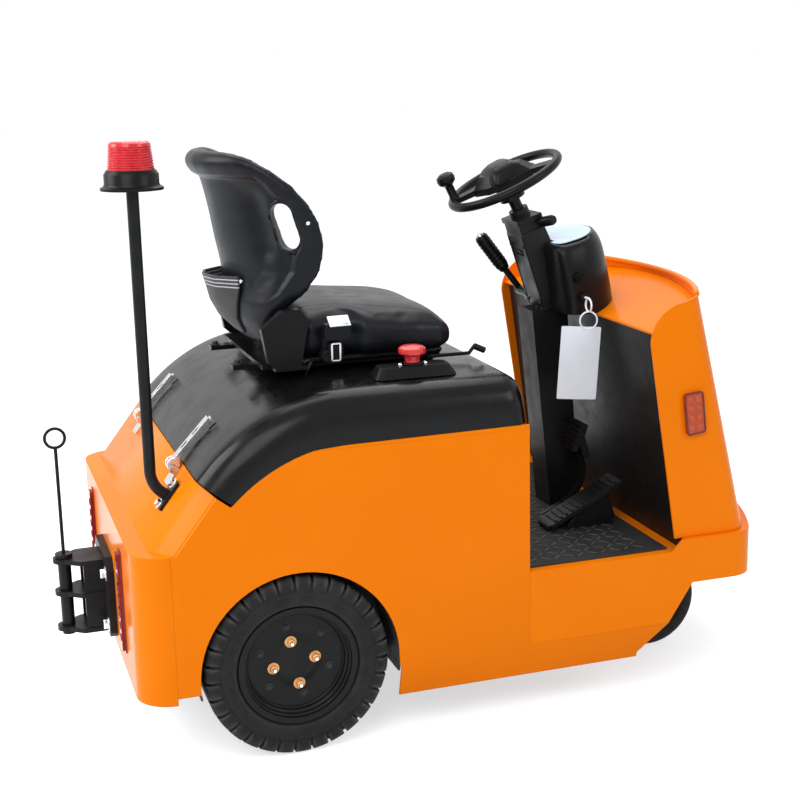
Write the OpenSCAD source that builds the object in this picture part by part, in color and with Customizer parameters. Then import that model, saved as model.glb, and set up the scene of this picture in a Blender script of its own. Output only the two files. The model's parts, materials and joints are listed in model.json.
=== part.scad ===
// Electric tow tractor: seated driver, battery under a hinged hood, rear coupling
// All lengths in mm. X runs forward, Y to the driver's left, Z up from the ground.

/* [Body] */
// Width over the body sides
body_w = 878; // [840:1:920]
// Rear face behind the rear axle
body_rear = 319; // [300:1:340]
// Radius of the upright rear corners
rear_corner_r = 72; // [50:1:90]
// Underside of the rear corners
rear_low_z = 151; // [130:1:170]
// Height of the small rear shelf
shelf_z = 457; // [430:1:480]
// Depth of the small rear shelf
shelf_d = 36; // [25:1:50]
// Pitch of the rear slope
slope_deg = 52; // [48:0.5:56]
// Sheet thickness of the body panels
sheet = 5; // [4:0.5:6]
// Front edge of the side panels ahead of the rear axle
side_front = 502; // [480:1:520]
// Height of the floor
floor_z = 328; // [310:1:350]
// Height of the fold above the tucked lower skirt
fold_z = 165; // [150:1:180]
// Lower edge of the tucked skirt
skirt_z = 88; // [80:1:110]
// Tuck of the skirt
skirt_in = 24; // [15:1:35]

/* [Wheels] */
// Rear tyre diameter
rear_d = 383; // [370:1:400]
// Rear tyre width
rear_tyre_w = 110; // [100:1:120]
// Rear wheel centre to the middle
rear_y = 378; // [370:1:384]
// Front tyre diameter
front_d = 230; // [215:1:240]
// Front tyre width
front_tyre_w = 75; // [65:1:80]
// Front wheel centre to the middle
front_y = 142; // [135:1:150]
// Distance between the axles
wheelbase = 925; // [900:1:945]
// Radius of the wheel arch
arch_r = 206; // [200:1:215]

/* [Front] */
// Bumper nose ahead of the rear axle
nose_x = 1150; // [1130:1:1170]
// Radius of the nose in plan
nose_r = 860; // [800:10:950]
// Radius of the nose corners in plan
nose_corner_r = 65; // [50:1:80]
// Underside of the bumper
bumper_low_z = 252; // [245:1:262]
// Ridge on top of the bumper
bumper_top_z = 353; // [340:1:365]
// Inset of the cowl from the bumper
cowl_in = 14; // [8:1:24]
// Backward lean of the cowl
cowl_lean = 13.2; // [10:0.2:16]
// Top edge of the cowl
cowl_top_z = 888; // [870:1:905]
// Height of the deck inside the cowl
deck_z = 812; // [795:1:825]

/* [Hood and seat] */
// Top of the hood under the seat
hood_z = 750; // [735:1:760]
// Front face of the hood
hood_front = 504; // [495:1:512]
// Edge radius of the hood
hood_r = 66; // [50:1:75]
// Wall of the hood
hood_wall = 6; // [5:0.5:8]
// Seam between hood and body
hood_gap = 1; // [0.5:0.5:5]
// Width of the seat cushion
seat_w = 470; // [440:1:490]
// Top of the backrest
seat_top_z = 1204; // [1180:1:1220]

/* [Controls] */
// Steering wheel radius to the rim's centre line
wheel_r = 130.7; // [120:0.1:140]
// Radius of the steering wheel's rim tube
rim_tube_r = 10.5; // [9:0.5:13]
// Backward tilt of the steering column
column_deg = 25.6; // [22:0.2:30]
// Steering wheel centre ahead of the rear axle
wheel_x = 626.6; // [610:0.2:640]
// Steering wheel centre height
wheel_z = 1111.6; // [1090:0.2:1125]

/* [Coupling and beacon] */
// Coupling pin behind the rear axle
pin_x = 413; // [405:1:420]
// Tip of the coupling behind the rear axle
hitch_tip = 437; // [430:1:445]
// Radius of the coupling pin
pin_r = 14; // [12:0.5:16]
// Beacon to the right of the middle
beacon_y = 290; // [280:1:300]
// Top of the beacon lens
beacon_top_z = 1241; // [1225:1:1255]

/* [Hidden] */
half_w = body_w / 2;
axle_x = (hitch_tip - nose_x) / 2;
rear_r = rear_d / 2;
front_r = front_d / 2;
nose_cx = nose_x - nose_r;
corner_y = half_w - nose_corner_r;
corner_x = nose_cx + sqrt(pow(nose_r - nose_corner_r, 2) - pow(corner_y, 2));
corner_dir = atan2(corner_y, corner_x - nose_cx);
arch_x = 5;
arch_z = 187;
edge_cx = 130;
edge_r = 355;
edge_cz = 295;
edge_flat_z = edge_cz + edge_r;
edge_rise = 0.0102;
deck_rise = 0.29;
key_places = [[748, 898], [760, 853]];
crown_cx = 132;
crown_r = 390;
crown_cz = hood_z - crown_r;
crown_deg = 53.5;
crease_y = 377;
chamfer_drop = 38;
liner_y = 304;
post_u = 101;
jaw_z = [176, 257, 330];
jaw_t = 10;
box_deg = 18;
stop_x = 287;
stop_y = 328;
seat_side_y = 216;
back_pivot = [46, 866];
latch_u = 146;
latch_y = 230;
post_stub = 14;
post_r = 11.5;
bend_r = 60;
bend_u = post_u + bend_r * (1 - cos(slope_deg));
bend_v = post_stub + bend_r * sin(slope_deg);
post_x = -body_rear + shelf_d + bend_u * cos(slope_deg) - bend_v * sin(slope_deg);
post_z = shelf_z + bend_u * sin(slope_deg) + bend_v * cos(slope_deg);
beacon_plate_z = beacon_top_z - 92;
shaft_gap = 0.05;
paint = [0.94, 0.42, 0.04];
black = [0.05, 0.05, 0.055];
dark = [0.1, 0.1, 0.11];
rubber = [0.07, 0.07, 0.075];
steel = [0.72, 0.73, 0.75];

// Draws along with the rear axle
module at_axle() {
    translate([axle_x, 0, 0]) children();
}

// Draws a piece and its mirror on the other side
module both() {
    children();
    mirror([0, 1, 0]) children();
}

// Extrudes a side view profile from y0 to y1
module across(y0, y1) {
    translate([0, y1, 0]) rotate([90, 0, 0]) linear_extrude(height = y1 - y0) children();
}

// Extrudes a rear view profile from x0 to x1
module along(x0, x1) {
    translate([x0, 0, 0]) rotate([90, 0, 90]) linear_extrude(height = x1 - x0) children();
}

// Extrudes a plan from z0 to z1
module up(z0, z1) {
    translate([0, 0, z0]) linear_extrude(height = z1 - z0) children();
}

// A box by its two corners
module box(a, b) {
    translate(a) cube(b - a);
}

// A round bar across the vehicle
module bar_y(x, z, r, y0, y1) {
    translate([x, y0, z]) rotate([-90, 0, 0]) cylinder(r = r, h = y1 - y0, $fn = 64);
}

// A rounded rectangle about its centre
module rounded(w, h, r) {
    square([w - 2 * r, h], center = true);
    square([w, h - 2 * r], center = true);
    for (sx = [-1, 1], sy = [-1, 1])
        translate([sx * (w / 2 - r), sy * (h / 2 - r)]) circle(r = r, $fn = 48);
}

// Joins equal rings of points into one closed solid, each ring half out and half back
// turned swaps the diagonals, so that a piece can lie on the outside of another loft
module loft(rings, turned = false) {
    n = len(rings);
    m = len(rings[0]);
    points = [for (ring = rings) each ring];
    first = [for (j = [0 : m / 2 - 2], k = [0, 1])
        let (a = j, b = j + 1, c = m - 1 - j, d = m - 2 - j) k == 0 ? [a, d, b] : [a, c, d]];
    shift = (n - 1) * m;
    last = [for (f = first) [f[2] + shift, f[1] + shift, f[0] + shift]];
    sides = [for (i = [0 : n - 2], j = [0 : m - 1], k = [0, 1])
        let (a = i * m + j, b = i * m + (j + 1) % m, c = a + m, d = b + m)
        turned ? (k == 0 ? [a, b, c] : [b, d, c]) : (k == 0 ? [a, b, d] : [a, d, c])];
    polyhedron(points = points, faces = concat(first, last, sides));
}

// Height of the straight part of the body's upper edge
function edge_z(x) = edge_flat_z + edge_rise * (x - edge_cx);

// Upper edge of the body where the hood lands, as a cutting area
module hood_edge(grow = 0) {
    difference() {
        polygon([[-124, 543 - grow], [-260, 648.8 - grow], [-260, 900], [620, 900], [620, edge_z(620) - grow],
            [edge_cx, edge_flat_z - grow], [edge_cx, 543 - grow]]);
        translate([edge_cx, edge_cz - grow]) circle(r = edge_r, $fn = 96);
    }
}

// Side view of the rear body, drawn in by o
function slope_foot(o) = -body_rear + shelf_d + o * sin(slope_deg) - o * tan(slope_deg / 2) * cos(slope_deg);
module rear_profile(o, low) {
    foot = slope_foot(o);
    run = 230;
    polygon([[-body_rear + o, low], [-body_rear + o, shelf_z - o], [foot, shelf_z - o],
        [foot + run * cos(slope_deg), shelf_z - o + run * sin(slope_deg)], [side_front + o, 640 + o * 40],
        [side_front + o * 4, 640 + o * 40], [side_front + o * 4, low]]);
}

// Plan of the rear body with its round corners, drawn in by o
module rear_plan(o) {
    corner = rear_corner_r;
    for (sy = [-1, 1])
        translate([-body_rear + corner, sy * (half_w - corner)]) circle(r = corner - o, $fn = 64);
    translate([-body_rear + corner, -half_w + o]) square([900, body_w - 2 * o]);
    translate([-body_rear + o, -half_w + corner]) square([200, body_w - 2 * corner]);
}

// Wedge that takes the long edge beside the slope off
module slope_edge_cut(o) {
    turn = atan2(chamfer_drop, half_w - crease_y);
    far = 200;
    intersection() {
        translate([-body_rear + shelf_d, 0, shelf_z])
            rotate([0, -slope_deg, 0])
                along(-120, 420)
                    translate([crease_y - o * sin(turn), -o * cos(turn)])
                        polygon([[0, 0], [far, -far * tan(turn)], [far, 200], [-60 * tan(turn), 60]]);
        box([-400, 0, shelf_z - o], [300, 600, 900]);
    }
}

// Rear body as a block, drawn in by o
module rear_block(o, low) {
    difference() {
        intersection() {
            across(-half_w + o, half_w - o) rear_profile(o, low);
            up(low, 900) rear_plan(o);
        }
        both() slope_edge_cut(o);
    }
}

// Sheet of the whole rear body with its open top
module rear_sheet() {
    difference() {
        rear_block(0, rear_low_z);
        rear_block(sheet, rear_low_z - 10);
        across(-half_w - 1, half_w + 1) hood_edge();
        across(-half_w - 1, half_w + 1) {
            translate([arch_x, arch_z]) circle(r = arch_r, $fn = 96);
            translate([arch_x - arch_r, 0]) square([2 * arch_r, arch_z]);
        }
    }
}

module rear_panel() {
    color(paint) at_axle() intersection() {
        rear_sheet();
        union() {
            box([-400, -500, 0], [-body_rear + rear_corner_r, 500, 900]);
            box([-body_rear + 40, -half_w + sheet + 1, shelf_z - 60], [0, half_w - sheet - 1, 900]);
        }
    }
}

module side_panels() {
    color(paint) at_axle() both() {
        intersection() {
            difference() {
                rear_sheet();
                box([-400, -500, 0], [-body_rear + rear_corner_r, 500, 900]);
            }
            box([-400, half_w - sheet, fold_z], [side_front, half_w + 1, 900]);
        }
        difference() {
            along(arch_x + arch_r + 4.2, 832)
                polygon([[half_w, fold_z], [half_w - skirt_in, skirt_z], [half_w - skirt_in - sheet, skirt_z],
                    [half_w - sheet, fold_z]]);
            across(0, 500) polygon([[766, 60], [766, 99], [832, fold_z], [860, fold_z], [860, 60]]);
        }
    }
}

module arch_liners() {
    outer = arch_r + 4;
    color(dark) at_axle() both() {
        difference() {
            across(liner_y, half_w - sheet) translate([arch_x, arch_z]) circle(r = outer, $fn = 96);
            across(liner_y + 4, half_w) translate([arch_x, arch_z]) circle(r = arch_r, $fn = 96);
            box([-400, 0, -100], [400, 600, rear_low_z]);
            bar_y(0, rear_r, 60, 200, 400);
        }
    }
}

module bulkhead() {
    color(paint) at_axle() box([side_front - sheet, -half_w + sheet, floor_z - 12], [side_front, half_w - sheet, 640]);
}

// Plan of the nose, drawn in by o, from x0 forward
module nose_plan(o, x0) {
    reach = 1.4 * (nose_r - o);
    intersection() {
        translate([nose_cx, 0]) circle(r = nose_r - o, $fn = 128);
        polygon([[nose_cx, 0], [nose_cx + reach * cos(corner_dir), -reach * sin(corner_dir)],
            [nose_cx + reach * cos(corner_dir), reach * sin(corner_dir)]]);
    }
    for (sy = [-1, 1])
        translate([corner_x, sy * corner_y]) circle(r = nose_corner_r - o, $fn = 64);
    translate([x0, -half_w + o]) square([corner_x - x0, body_w - 2 * o]);
    translate([x0, -corner_y]) square([corner_x - x0 + 30, 2 * corner_y]);
}

// Side view limits of the sill and bumper band
module sill_profile() {
    polygon([[side_front, fold_z], [832, fold_z], [890, bumper_low_z], [1200, bumper_low_z], [1200, bumper_top_z],
        [862, bumper_top_z], [838, floor_z], [side_front, floor_z]]);
}

module front_frame() {
    color(paint) at_axle() difference() {
        intersection() {
            up(100, 400) nose_plan(0, side_front);
            across(-half_w, half_w) sill_profile();
        }
        difference() {
            up(90, bumper_top_z + 50) nose_plan(sheet, side_front - 10);
            box([0, -500, floor_z - 12], [1200, 500, floor_z]);
            up(bumper_top_z - 6, bumper_top_z - 0.3) difference() {
                nose_plan(sheet - 1, 870);
                nose_plan(cowl_in + sheet + 8, 850);
            }
        }
    }
}

module tread_plate() {
    color(dark) at_axle() box([side_front + 4, -half_w + 22, floor_z], [837, half_w - 22, floor_z + 4]);
}

// Cowl as a leaning block, drawn in by o
module cowl_block(o) {
    back = (nose_r - cowl_in) * (1 - 1 / cos(cowl_lean));
    translate([nose_cx + back, 0, bumper_top_z]) rotate([0, -cowl_lean, 0]) translate([-nose_cx, 0, 0])
        up(-420, 800) nose_plan(cowl_in + o, 300);
}

// Side view of the fenders
module fender_profile() {
    corner_r = 88;
    difference() {
        polygon([[851, bumper_top_z], [786, 790], [786, 876], [868, 876], [912, cowl_top_z], [1200, cowl_top_z],
            [1200, bumper_top_z]]);
        difference() {
            translate([780, 788]) square([94, 100]);
            translate([786 + corner_r, 876 - corner_r]) circle(r = corner_r, $fn = 64);
            translate([786 + corner_r, 700]) square([200, 300]);
        }
    }
}

module front_cowl() {
    color(paint) at_axle() intersection() {
        difference() {
            cowl_block(0);
            cowl_block(sheet);
        }
        across(-500, 500) fender_profile();
    }
}

// Height of the deck, which rises to the cowl's front rim
function deck_top(x) = deck_z + deck_rise * (x - 796);

module deck() {
    color(paint) at_axle() intersection() {
        cowl_block(sheet);
        across(-500, 500) polygon([[796, deck_top(796) - 5], [1200, deck_top(1200) - 5], [1200, deck_top(1200)], [796, deck_z]]);
    }
}

module leg_shield() {
    color(black) at_axle() intersection() {
        cowl_block(sheet);
        across(-500, 500) polygon([[868, floor_z], [806, deck_top(806) - 5.3], [810, deck_top(810) - 5.3],
            [872, floor_z]]);
    }
}

module chassis() {
    color(dark) at_axle() {
        difference() {
            union() {
                both() box([-body_rear + sheet, 226, 245], [480, 286, floor_z - 12]);
                box([-body_rear + sheet, -226, 270], [-body_rear + 65, 226, floor_z - 12]);
                box([420, -286, 245], [480, 286, floor_z - 12]);
                both() box([480, 250, 262], [1000, 290, floor_z - 12]);
                box([wheelbase - 130, -250, 300], [wheelbase + 130, 250, floor_z - 12]);
            }
            translate([wheelbase, 0, 250]) cylinder(r = 30 + shaft_gap, h = 100, $fn = 64);
        }
    }
}

module battery() {
    color(dark) at_axle() box([20, -286, floor_z - 12], [470, 286, 610]);
}

module rear_axle() {
    color(dark) at_axle() {
        bar_y(0, rear_r, 24, -348, 348);
        bar_y(0, rear_r, 42, -300, 300);
        bar_y(0, rear_r, 105, -85, 95);
        both() box([-32, 234, rear_r], [32, 278, 245]);
        bar_y(150, rear_r + 10, 70, -200, 40);
        both() bar_y(0, rear_r, 24.95, 346, 384);
    }
}

module tow_coupling() {
    face = -body_rear;
    plate_t = 16;
    web_x = face - 58;
    color(black) at_axle() difference() {
        union() {
            along(face - plate_t, face) polygon([[-105, 190], [-94, 179], [94, 179], [105, 190], [105, 330], [84, 355],
                [-84, 355], [-105, 330]]);
            for (z = jaw_z)
                up(z, z + jaw_t) {
                    translate([-pin_x, 0]) circle(r = hitch_tip - pin_x, $fn = 48);
                    polygon([[-pin_x, pin_x - hitch_tip], [web_x - 6, -48], [face - plate_t, -48], [face - plate_t, 48],
                        [web_x - 6, 48], [-pin_x, hitch_tip - pin_x]]);
                }
            both() box([web_x, 33, jaw_z[0]], [face - plate_t, 45, jaw_z[2] + jaw_t]);
        }
        translate([-pin_x, 0, 150]) cylinder(r = pin_r + 0.5, h = 250, $fn = 48);
    }
}

module tow_pin() {
    top_z = jaw_z[2] + jaw_t;
    rod_z = 583;
    ring_r = 21;
    color(black) at_axle() translate([-pin_x, 0, 0]) {
        translate([0, 0, jaw_z[0] - 10]) cylinder(r = pin_r, h = top_z - jaw_z[0] + 14, $fn = 48);
        translate([0, 0, top_z + 0.3]) cylinder(r = 18.5, h = 9, $fn = 48);
        translate([0, 0, top_z + 5]) cylinder(r = 3.8, h = rod_z - top_z + 1, $fn = 32);
        translate([0, 0, rod_z + ring_r + 3]) rotate([90, 0, 0])
            rotate_extrude($fn = 48) translate([ring_r, 0]) circle(r = 3.4, $fn = 24);
    }
}

module tail_lamps() {
    color([0.75, 0.05, 0.04]) at_axle() both() {
        along(-body_rear - 3, -body_rear) translate([240, 310]) rounded(34, 222, 8);
        along(-body_rear - 9, -body_rear - 3) translate([240, 310]) rounded(26, 212, 6);
    }
}

module side_lamps() {
    color([0.9, 0.3, 0.03]) at_axle() both()
        across(half_w - cowl_in, half_w - cowl_in + 8) translate([890, 633]) rotate([0, 0, 6]) rounded(45, 92, 6);
}

module beacon_post() {
    color(black) at_axle() on_slope(post_u, -beacon_y) {
        translate([-30, -20, 0]) cube([64, 40, 7]);
        cylinder(r = post_r + 0.2, h = post_stub + 2, $fn = 32);
        translate([bend_r, 0, post_stub]) {
            rotate([90, 0, 0]) rotate([0, 0, 180 - slope_deg])
                rotate_extrude(angle = slope_deg, $fn = 64) translate([bend_r, 0]) circle(r = post_r, $fn = 32);
            rotate([0, slope_deg, 0]) translate([-bend_r, 0, -2])
                cylinder(r = post_r + 0.2, h = beacon_plate_z - post_z + 2, $fn = 32);
        }
    }
}

module beacon_base() {
    color(black) at_axle() translate([post_x, -beacon_y, beacon_plate_z]) rotate_extrude($fn = 64)
        polygon([[0, 0], [60, 0], [60, 5], [54, 8], [52, 12], [52, 30], [47, 38], [0, 38]]);
}

module beacon_lens() {
    lens_r = 44.5;
    color([0.85, 0.05, 0.04]) at_axle() translate([post_x, -beacon_y, beacon_plate_z + 38]) {
        cylinder(r = lens_r, h = 50, $fn = 64);
        translate([0, 0, 50]) cylinder(r1 = lens_r, r2 = lens_r - 5, h = 4, $fn = 64);
    }
}

// Draws in the plane of the rear slope, u up the slope from the shelf
module on_slope(u, y) {
    translate([-body_rear + shelf_d, y, shelf_z]) rotate([0, -slope_deg, 0]) translate([u, 0, 0]) children();
}

// Draws on the crown of the hood at angle a from its top
module on_crown(a, y) {
    translate([crown_cx, y, crown_cz]) rotate([0, -a, 0]) translate([0, 0, crown_r]) children();
}

module latch_bases() {
    color(steel) at_axle() both() on_slope(latch_u, latch_y) {
        translate([-34, -19, 0]) cube([40, 38, 4]);
        for (y = [-19, 15])
            translate([0, y, 0]) {
                translate([-8, 0, 0]) cube([16, 4, 12]);
                translate([0, 0, 12]) rotate([-90, 0, 0]) cylinder(r = 8, h = 4, $fn = 32);
            }
    }
}

module latch_levers() {
    lever_deg = crown_deg - 6.8;
    color(steel) at_axle() both() {
        on_crown(lever_deg, latch_y) difference() {
            union() {
                translate([-56, -12, 4.5]) cube([112, 24, 11]);
                translate([-56, -12, 9]) rotate([-90, 0, 0]) cylinder(r = 9, h = 24, $fn = 32);
            }
            translate([-40, -9, 3]) cube([100, 18, 9]);
            for (x = [-18, 18]) translate([x, 0, 0]) up(0, 30) rounded(20, 9, 4);
        }
        on_crown(crown_deg - 14.5, latch_y) {
            translate([-14, -8.7, 0.3]) cube([20, 17.4, 14.5]);
        }
    }
}

module hinge_pins() {
    color(steel) at_axle() both() {
        bar_y(hood_front + 6, 646, 4, 120, 240);
        box([side_front, 120, 600], [side_front + 4, 138, 640]);
        box([side_front, 222, 600], [side_front + 4, 240, 640]);
        box([side_front, 120, 630], [hood_front + 10, 138, 646]);
        box([side_front, 222, 630], [hood_front + 10, 240, 646]);
    }
}

module hood_hinges() {
    color(steel) at_axle() both() difference() {
        union() {
            bar_y(hood_front + 6, 646, 8, 144, 216);
            box([hood_front, 144, 650], [hood_front + 5, 216, 700]);
        }
        bar_y(hood_front + 6, 646, 4 + shaft_gap, 100, 260);
    }
}

// One arch of the hood through outer point p and side foot q
function hood_ring(p, q) =
    let (d = q - p, depth = norm(d), m = d / depth, r = min(hood_r, depth * 0.85), t = hood_wall, steps = 6,
        right = [for (i = [0 : steps]) let (a = 90 * i / steps) [half_w - r + r * cos(a), r - r * sin(a)]],
        inner_r = max(r - t, 2),
        inside = [for (i = [0 : steps]) let (a = 90 * i / steps)
            [half_w - t - inner_r + inner_r * cos(a), t + inner_r - inner_r * sin(a)]],
        outer_pts = concat([[half_w, depth]], right),
        inner_pts = concat([[half_w - t, depth]], inside),
        half_out = [for (v = outer_pts) [p[0] + m[0] * v[1], v[0], p[1] + m[1] * v[1]]],
        half_in = [for (v = inner_pts) [p[0] + m[0] * v[1], v[0], p[1] + m[1] * v[1]]],
        k = len(half_out) - 1)
    concat(half_out, [for (i = [0 : k]) let (v = half_out[k - i]) [v[0], -v[1], v[2]]],
        half_in_mirror(half_in), [for (i = [0 : k]) half_in[k - i]]);
function half_in_mirror(pts) = [for (v = pts) [v[0], -v[1], v[2]]];

// Foot of the side wall straight in from the crown at angle a
function crown_foot(a) =
    let (bx = crown_cx - edge_cx, bz = crown_cz - edge_cz - hood_gap, h = bz * cos(a) - bx * sin(a),
        s = -h + sqrt(h * h + edge_r * edge_r - bx * bx - bz * bz))
    [crown_cx - s * sin(a), crown_cz + s * cos(a)];

module hood() {
    crown = [for (i = [0 : 10]) let (a = crown_deg * (1 - i / 10))
        hood_ring([crown_cx - crown_r * sin(a), crown_cz + crown_r * cos(a)], crown_foot(a))];
    front_r2 = 46;
    front_c = [hood_front - front_r2, hood_z - front_r2];
    foot_z = edge_z(hood_front) + hood_gap + 1.5;
    front = [for (i = [0 : 5]) let (a = 18 * i)
        hood_ring([front_c[0] + front_r2 * sin(a), front_c[1] + front_r2 * cos(a)], [hood_front - 66 + 4 * i, foot_z])];
    low = [hood_ring([hood_front, foot_z - 1.5], [hood_front - 40, foot_z - 1.5])];
    color(black) at_axle() loft(concat(crown, front, low));
}

module seat_base() {
    rail_z = hood_z + 10;
    pan_z = rail_z + 8;
    color(black) at_axle() {
        both() box([-48, 105, hood_z], [400, 137, rail_z]);
        box([0, -205, rail_z], [390, 205, pan_z]);
        box([20, -240, rail_z], [88, 240, pan_z]);
        both() across(seat_side_y, seat_side_y + 22) {
            polygon([[6, 778], [28, rail_z], [74, rail_z], [95, 863], [75, 887], [40, 886], [-6, 850]]);
        }
        both() bar_y(back_pivot[0], back_pivot[1], 12, 176, seat_side_y + 1);
        bar_y(360, hood_z + 14, 4, -228, -200);
        translate([360, -226, hood_z + 14]) rotate([0, 90, 0]) cylinder(r = 4, h = 92, $fn = 24);
        translate([450, -226, hood_z + 14]) rotate([0, 40, 0]) cylinder(r = 4, h = 22, $fn = 24);
        translate([462, -226, hood_z + 28]) rotate([0, 115, 0]) cylinder(r = 7, h = 26, $fn = 24);
    }
}

// Cushion stations: x, half width, underside, top
seat_stations = [
    [52, 150, 790, 826],
    [62, 192, 774, 846],
    [100, 212, 768, 862],
    [190, 212, 768, 866],
    [222, 234, 768, 862],
    [340, 235, 768, 852],
    [392, 230, 771, 844],
    [418, 212, 780, 830],
    [428, 185, 796, 812]];
function seat_ring(row) =
    let (m = 32, w = row[1], zc = (row[2] + row[3]) / 2, h = (row[3] - row[2]) / 2)
    [for (j = [0 : m - 1]) let (a = (j + 0.5) * 360 / m, c = cos(a), q = sin(a))
        [row[0], w * sign(c) * pow(abs(c), 0.42), zc + h * sign(q) * pow(abs(q), 0.42)]];

module seat_cushion() {
    color(black) at_axle() loft([for (row = seat_stations) seat_ring(row)]);
}

// Backrest levels: height, half width, rear x, wrap, thickness, hollow at the rear
back_levels = [
    [800, 150, 2, 26, 44, 0],
    [850, 168, -25, 46, 56, 0],
    [885, 205, -42, 95, 62, 9],
    [915, 226, -52, 140, 64, 18],
    [960, 238, -64, 182, 64, 24],
    [1015, 242, -76, 205, 62, 26],
    [1060, 241, -83, 203, 60, 26],
    [1100, 236, -88, 187, 58, 23],
    [1140, 224, -92, 158, 54, 14],
    [1172, 203, -94, 118, 50, 0],
    [1194, 172, -91, 78, 42, 0],
    [seat_top_z, 132, -83, 44, 28, 0]];
back_steps = [1, 0.97, 0.9, 0.79, 0.64, 0.45, 0.22, 0, -0.22, -0.45, -0.64, -0.79, -0.9, -0.97, -1];
function back_point(row, s, off) =
    let (slope = 2.4 * row[3] * pow(abs(s), 1.4) * sign(s), len = sqrt(slope * slope + row[1] * row[1]))
    [row[2] + row[3] * pow(abs(s), 2.4) + off * row[1] / len, row[1] * s - off * slope / len, row[0]];
function back_edge(s) = abs(s) > 0.95 ? 0.45 : abs(s) > 0.85 ? 0.68 : 0.8 + 0.2 * (1 - abs(s));
function back_hollow(row, s) = row[5] * max(0, 1 - pow(abs(s) / 0.74, 6)) + (abs(s) > 0.95 ? 0.18 * row[4] : 0);
function back_ring(row) = concat(
    [for (s = back_steps) back_point(row, s, back_hollow(row, s))],
    [for (s = back_steps) back_point(row, -s, row[4] * back_edge(s))]);
pad_steps = [for (i = [4 : 10]) back_steps[i]];
function pad_ring(row) = concat(
    [for (s = pad_steps) back_point(row, s, row[4] * back_edge(s) + 0.6)],
    [for (s = pad_steps) back_point(row, -s, row[4] * back_edge(s) + (abs(s) > 0.6 ? 9 : 24))]);

module seat_back() {
    color(black) at_axle() difference() {
        loft([for (row = back_levels) back_ring(row)]);
        both() translate([58, 206, 1053]) rotate([0, 0, 26.7]) rotate([0, -16, 0]) across(-80, 80) {
            for (z = [-28, 28]) translate([0, z]) circle(r = 22, $fn = 48);
            square([44, 56], center = true);
        }
        both() bar_y(back_pivot[0], back_pivot[1], 12.2, 170, 260);
    }
}

module back_pad() {
    color(dark) at_axle() loft([for (i = [2 : 9]) pad_ring(back_levels[i])], turned = true);
}

// Pocket levels: lower backrest level, share up to the next one, depth in the middle
pocket_levels = [[0, 0.35, 1], [1, 0, 16], [2, 0, 26], [3, 0, 32], [3, 0.6, 36]];
pocket_steps = [for (i = [5 : 9]) back_steps[i]];
function pocket_ring(level) =
    let (low = back_levels[level[0]], row = low + level[1] * (back_levels[level[0] + 1] - low),
        out = [for (s = pocket_steps) back_hollow(row, s) - 0.6 - level[2] * (1 - pow(s / pocket_steps[0], 2))])
    concat([for (i = [0 : 4]) back_point(row, pocket_steps[i], out[i] - 5)],
        [for (i = [0 : 4]) back_point(row, pocket_steps[4 - i], out[4 - i])]);

module back_pocket() {
    color(dark) at_axle() loft([for (level = pocket_levels) pocket_ring(level)], turned = true);
}

module belt_buckle() {
    side_y = -seat_side_y - 1;
    color(black) at_axle() {
        across(side_y - 8, side_y + 4.8) translate([148, 812]) rounded(44, 78, 8);
        across(side_y - 20, side_y - 8) translate([148, 790]) rounded(26, 44, 4);
        across(side_y - 34, side_y - 8) translate([152, 836]) rounded(56, 34, 8);
        bar_y(134, 784, 14, side_y - 12, side_y + 4);
    }
}

// Moulded block under the stop button
module stop_pad() {
    color(black) at_axle() translate([stop_x, -stop_y, hood_z + 0.2]) hull() {
        up(0, 1) rounded(176, 76, 20);
        up(21, 22) rounded(150, 48, 16);
    }
}

module stop_button() {
    color([0.8, 0.04, 0.04]) at_axle() translate([stop_x, -stop_y, hood_z + 22.5]) rotate_extrude($fn = 64)
        polygon([[0, 0], [15, 0], [15, 8], [17, 18], [20, 21], [28, 23], [29, 28], [28, 34], [22, 38], [0, 40]]);
}

// Draws along the steering axis, z from the wheel's centre
module on_column() {
    translate([wheel_x, 0, wheel_z]) rotate([0, -column_deg, 0]) children();
}

// Draws along the leaning column box, z from its top
module on_box() {
    translate([666.5, 0, 1029]) rotate([0, -box_deg, 0]) children();
}

// Box of the upper column grown by o
module column_box(o) {
    on_box() box([-29 - o, -45 - o, -236 - o], [29 + o, 45 + o, o]);
}

module steering_column() {
    color(black) at_axle() difference() {
        union() {
            column_box(0);
            on_box() box([-32, -48, -12], [32, 48, 0]);
            on_column() translate([0, 0, -100]) cylinder(r = 23, h = 26, $fn = 48);
            across(-44, 44) polygon([[676, 811], [722, floor_z + 4], [800, floor_z + 4], [772, 700], [765, 811]]);
        }
        on_column() translate([0, 0, -180]) cylinder(r = 14 + shaft_gap, h = 150, $fn = 48);
        on_box() {
            for (z = [-62, -206]) box([-40, -10, z - 9], [-25, 10, z + 9]);
            for (z = [-38, -92, -182], y = [-30, 30])
                translate([-40, y, z]) rotate([0, 90, 0]) cylinder(r = 3.5, h = 15, $fn = 24);
        }
    }
}

module direction_switch() {
    color(black) at_axle() translate([692, -48.2, 1016]) rotate([0, 0, -62]) rotate([0, 78, 0]) {
        cylinder(r = 7, h = 30, $fn = 32);
        translate([0, 0, 12]) cylinder(r = 12, h = 26, $fn = 32);
        translate([0, 0, 38]) cylinder(r1 = 12, r2 = 9, h = 6, $fn = 32);
    }
}

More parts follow.
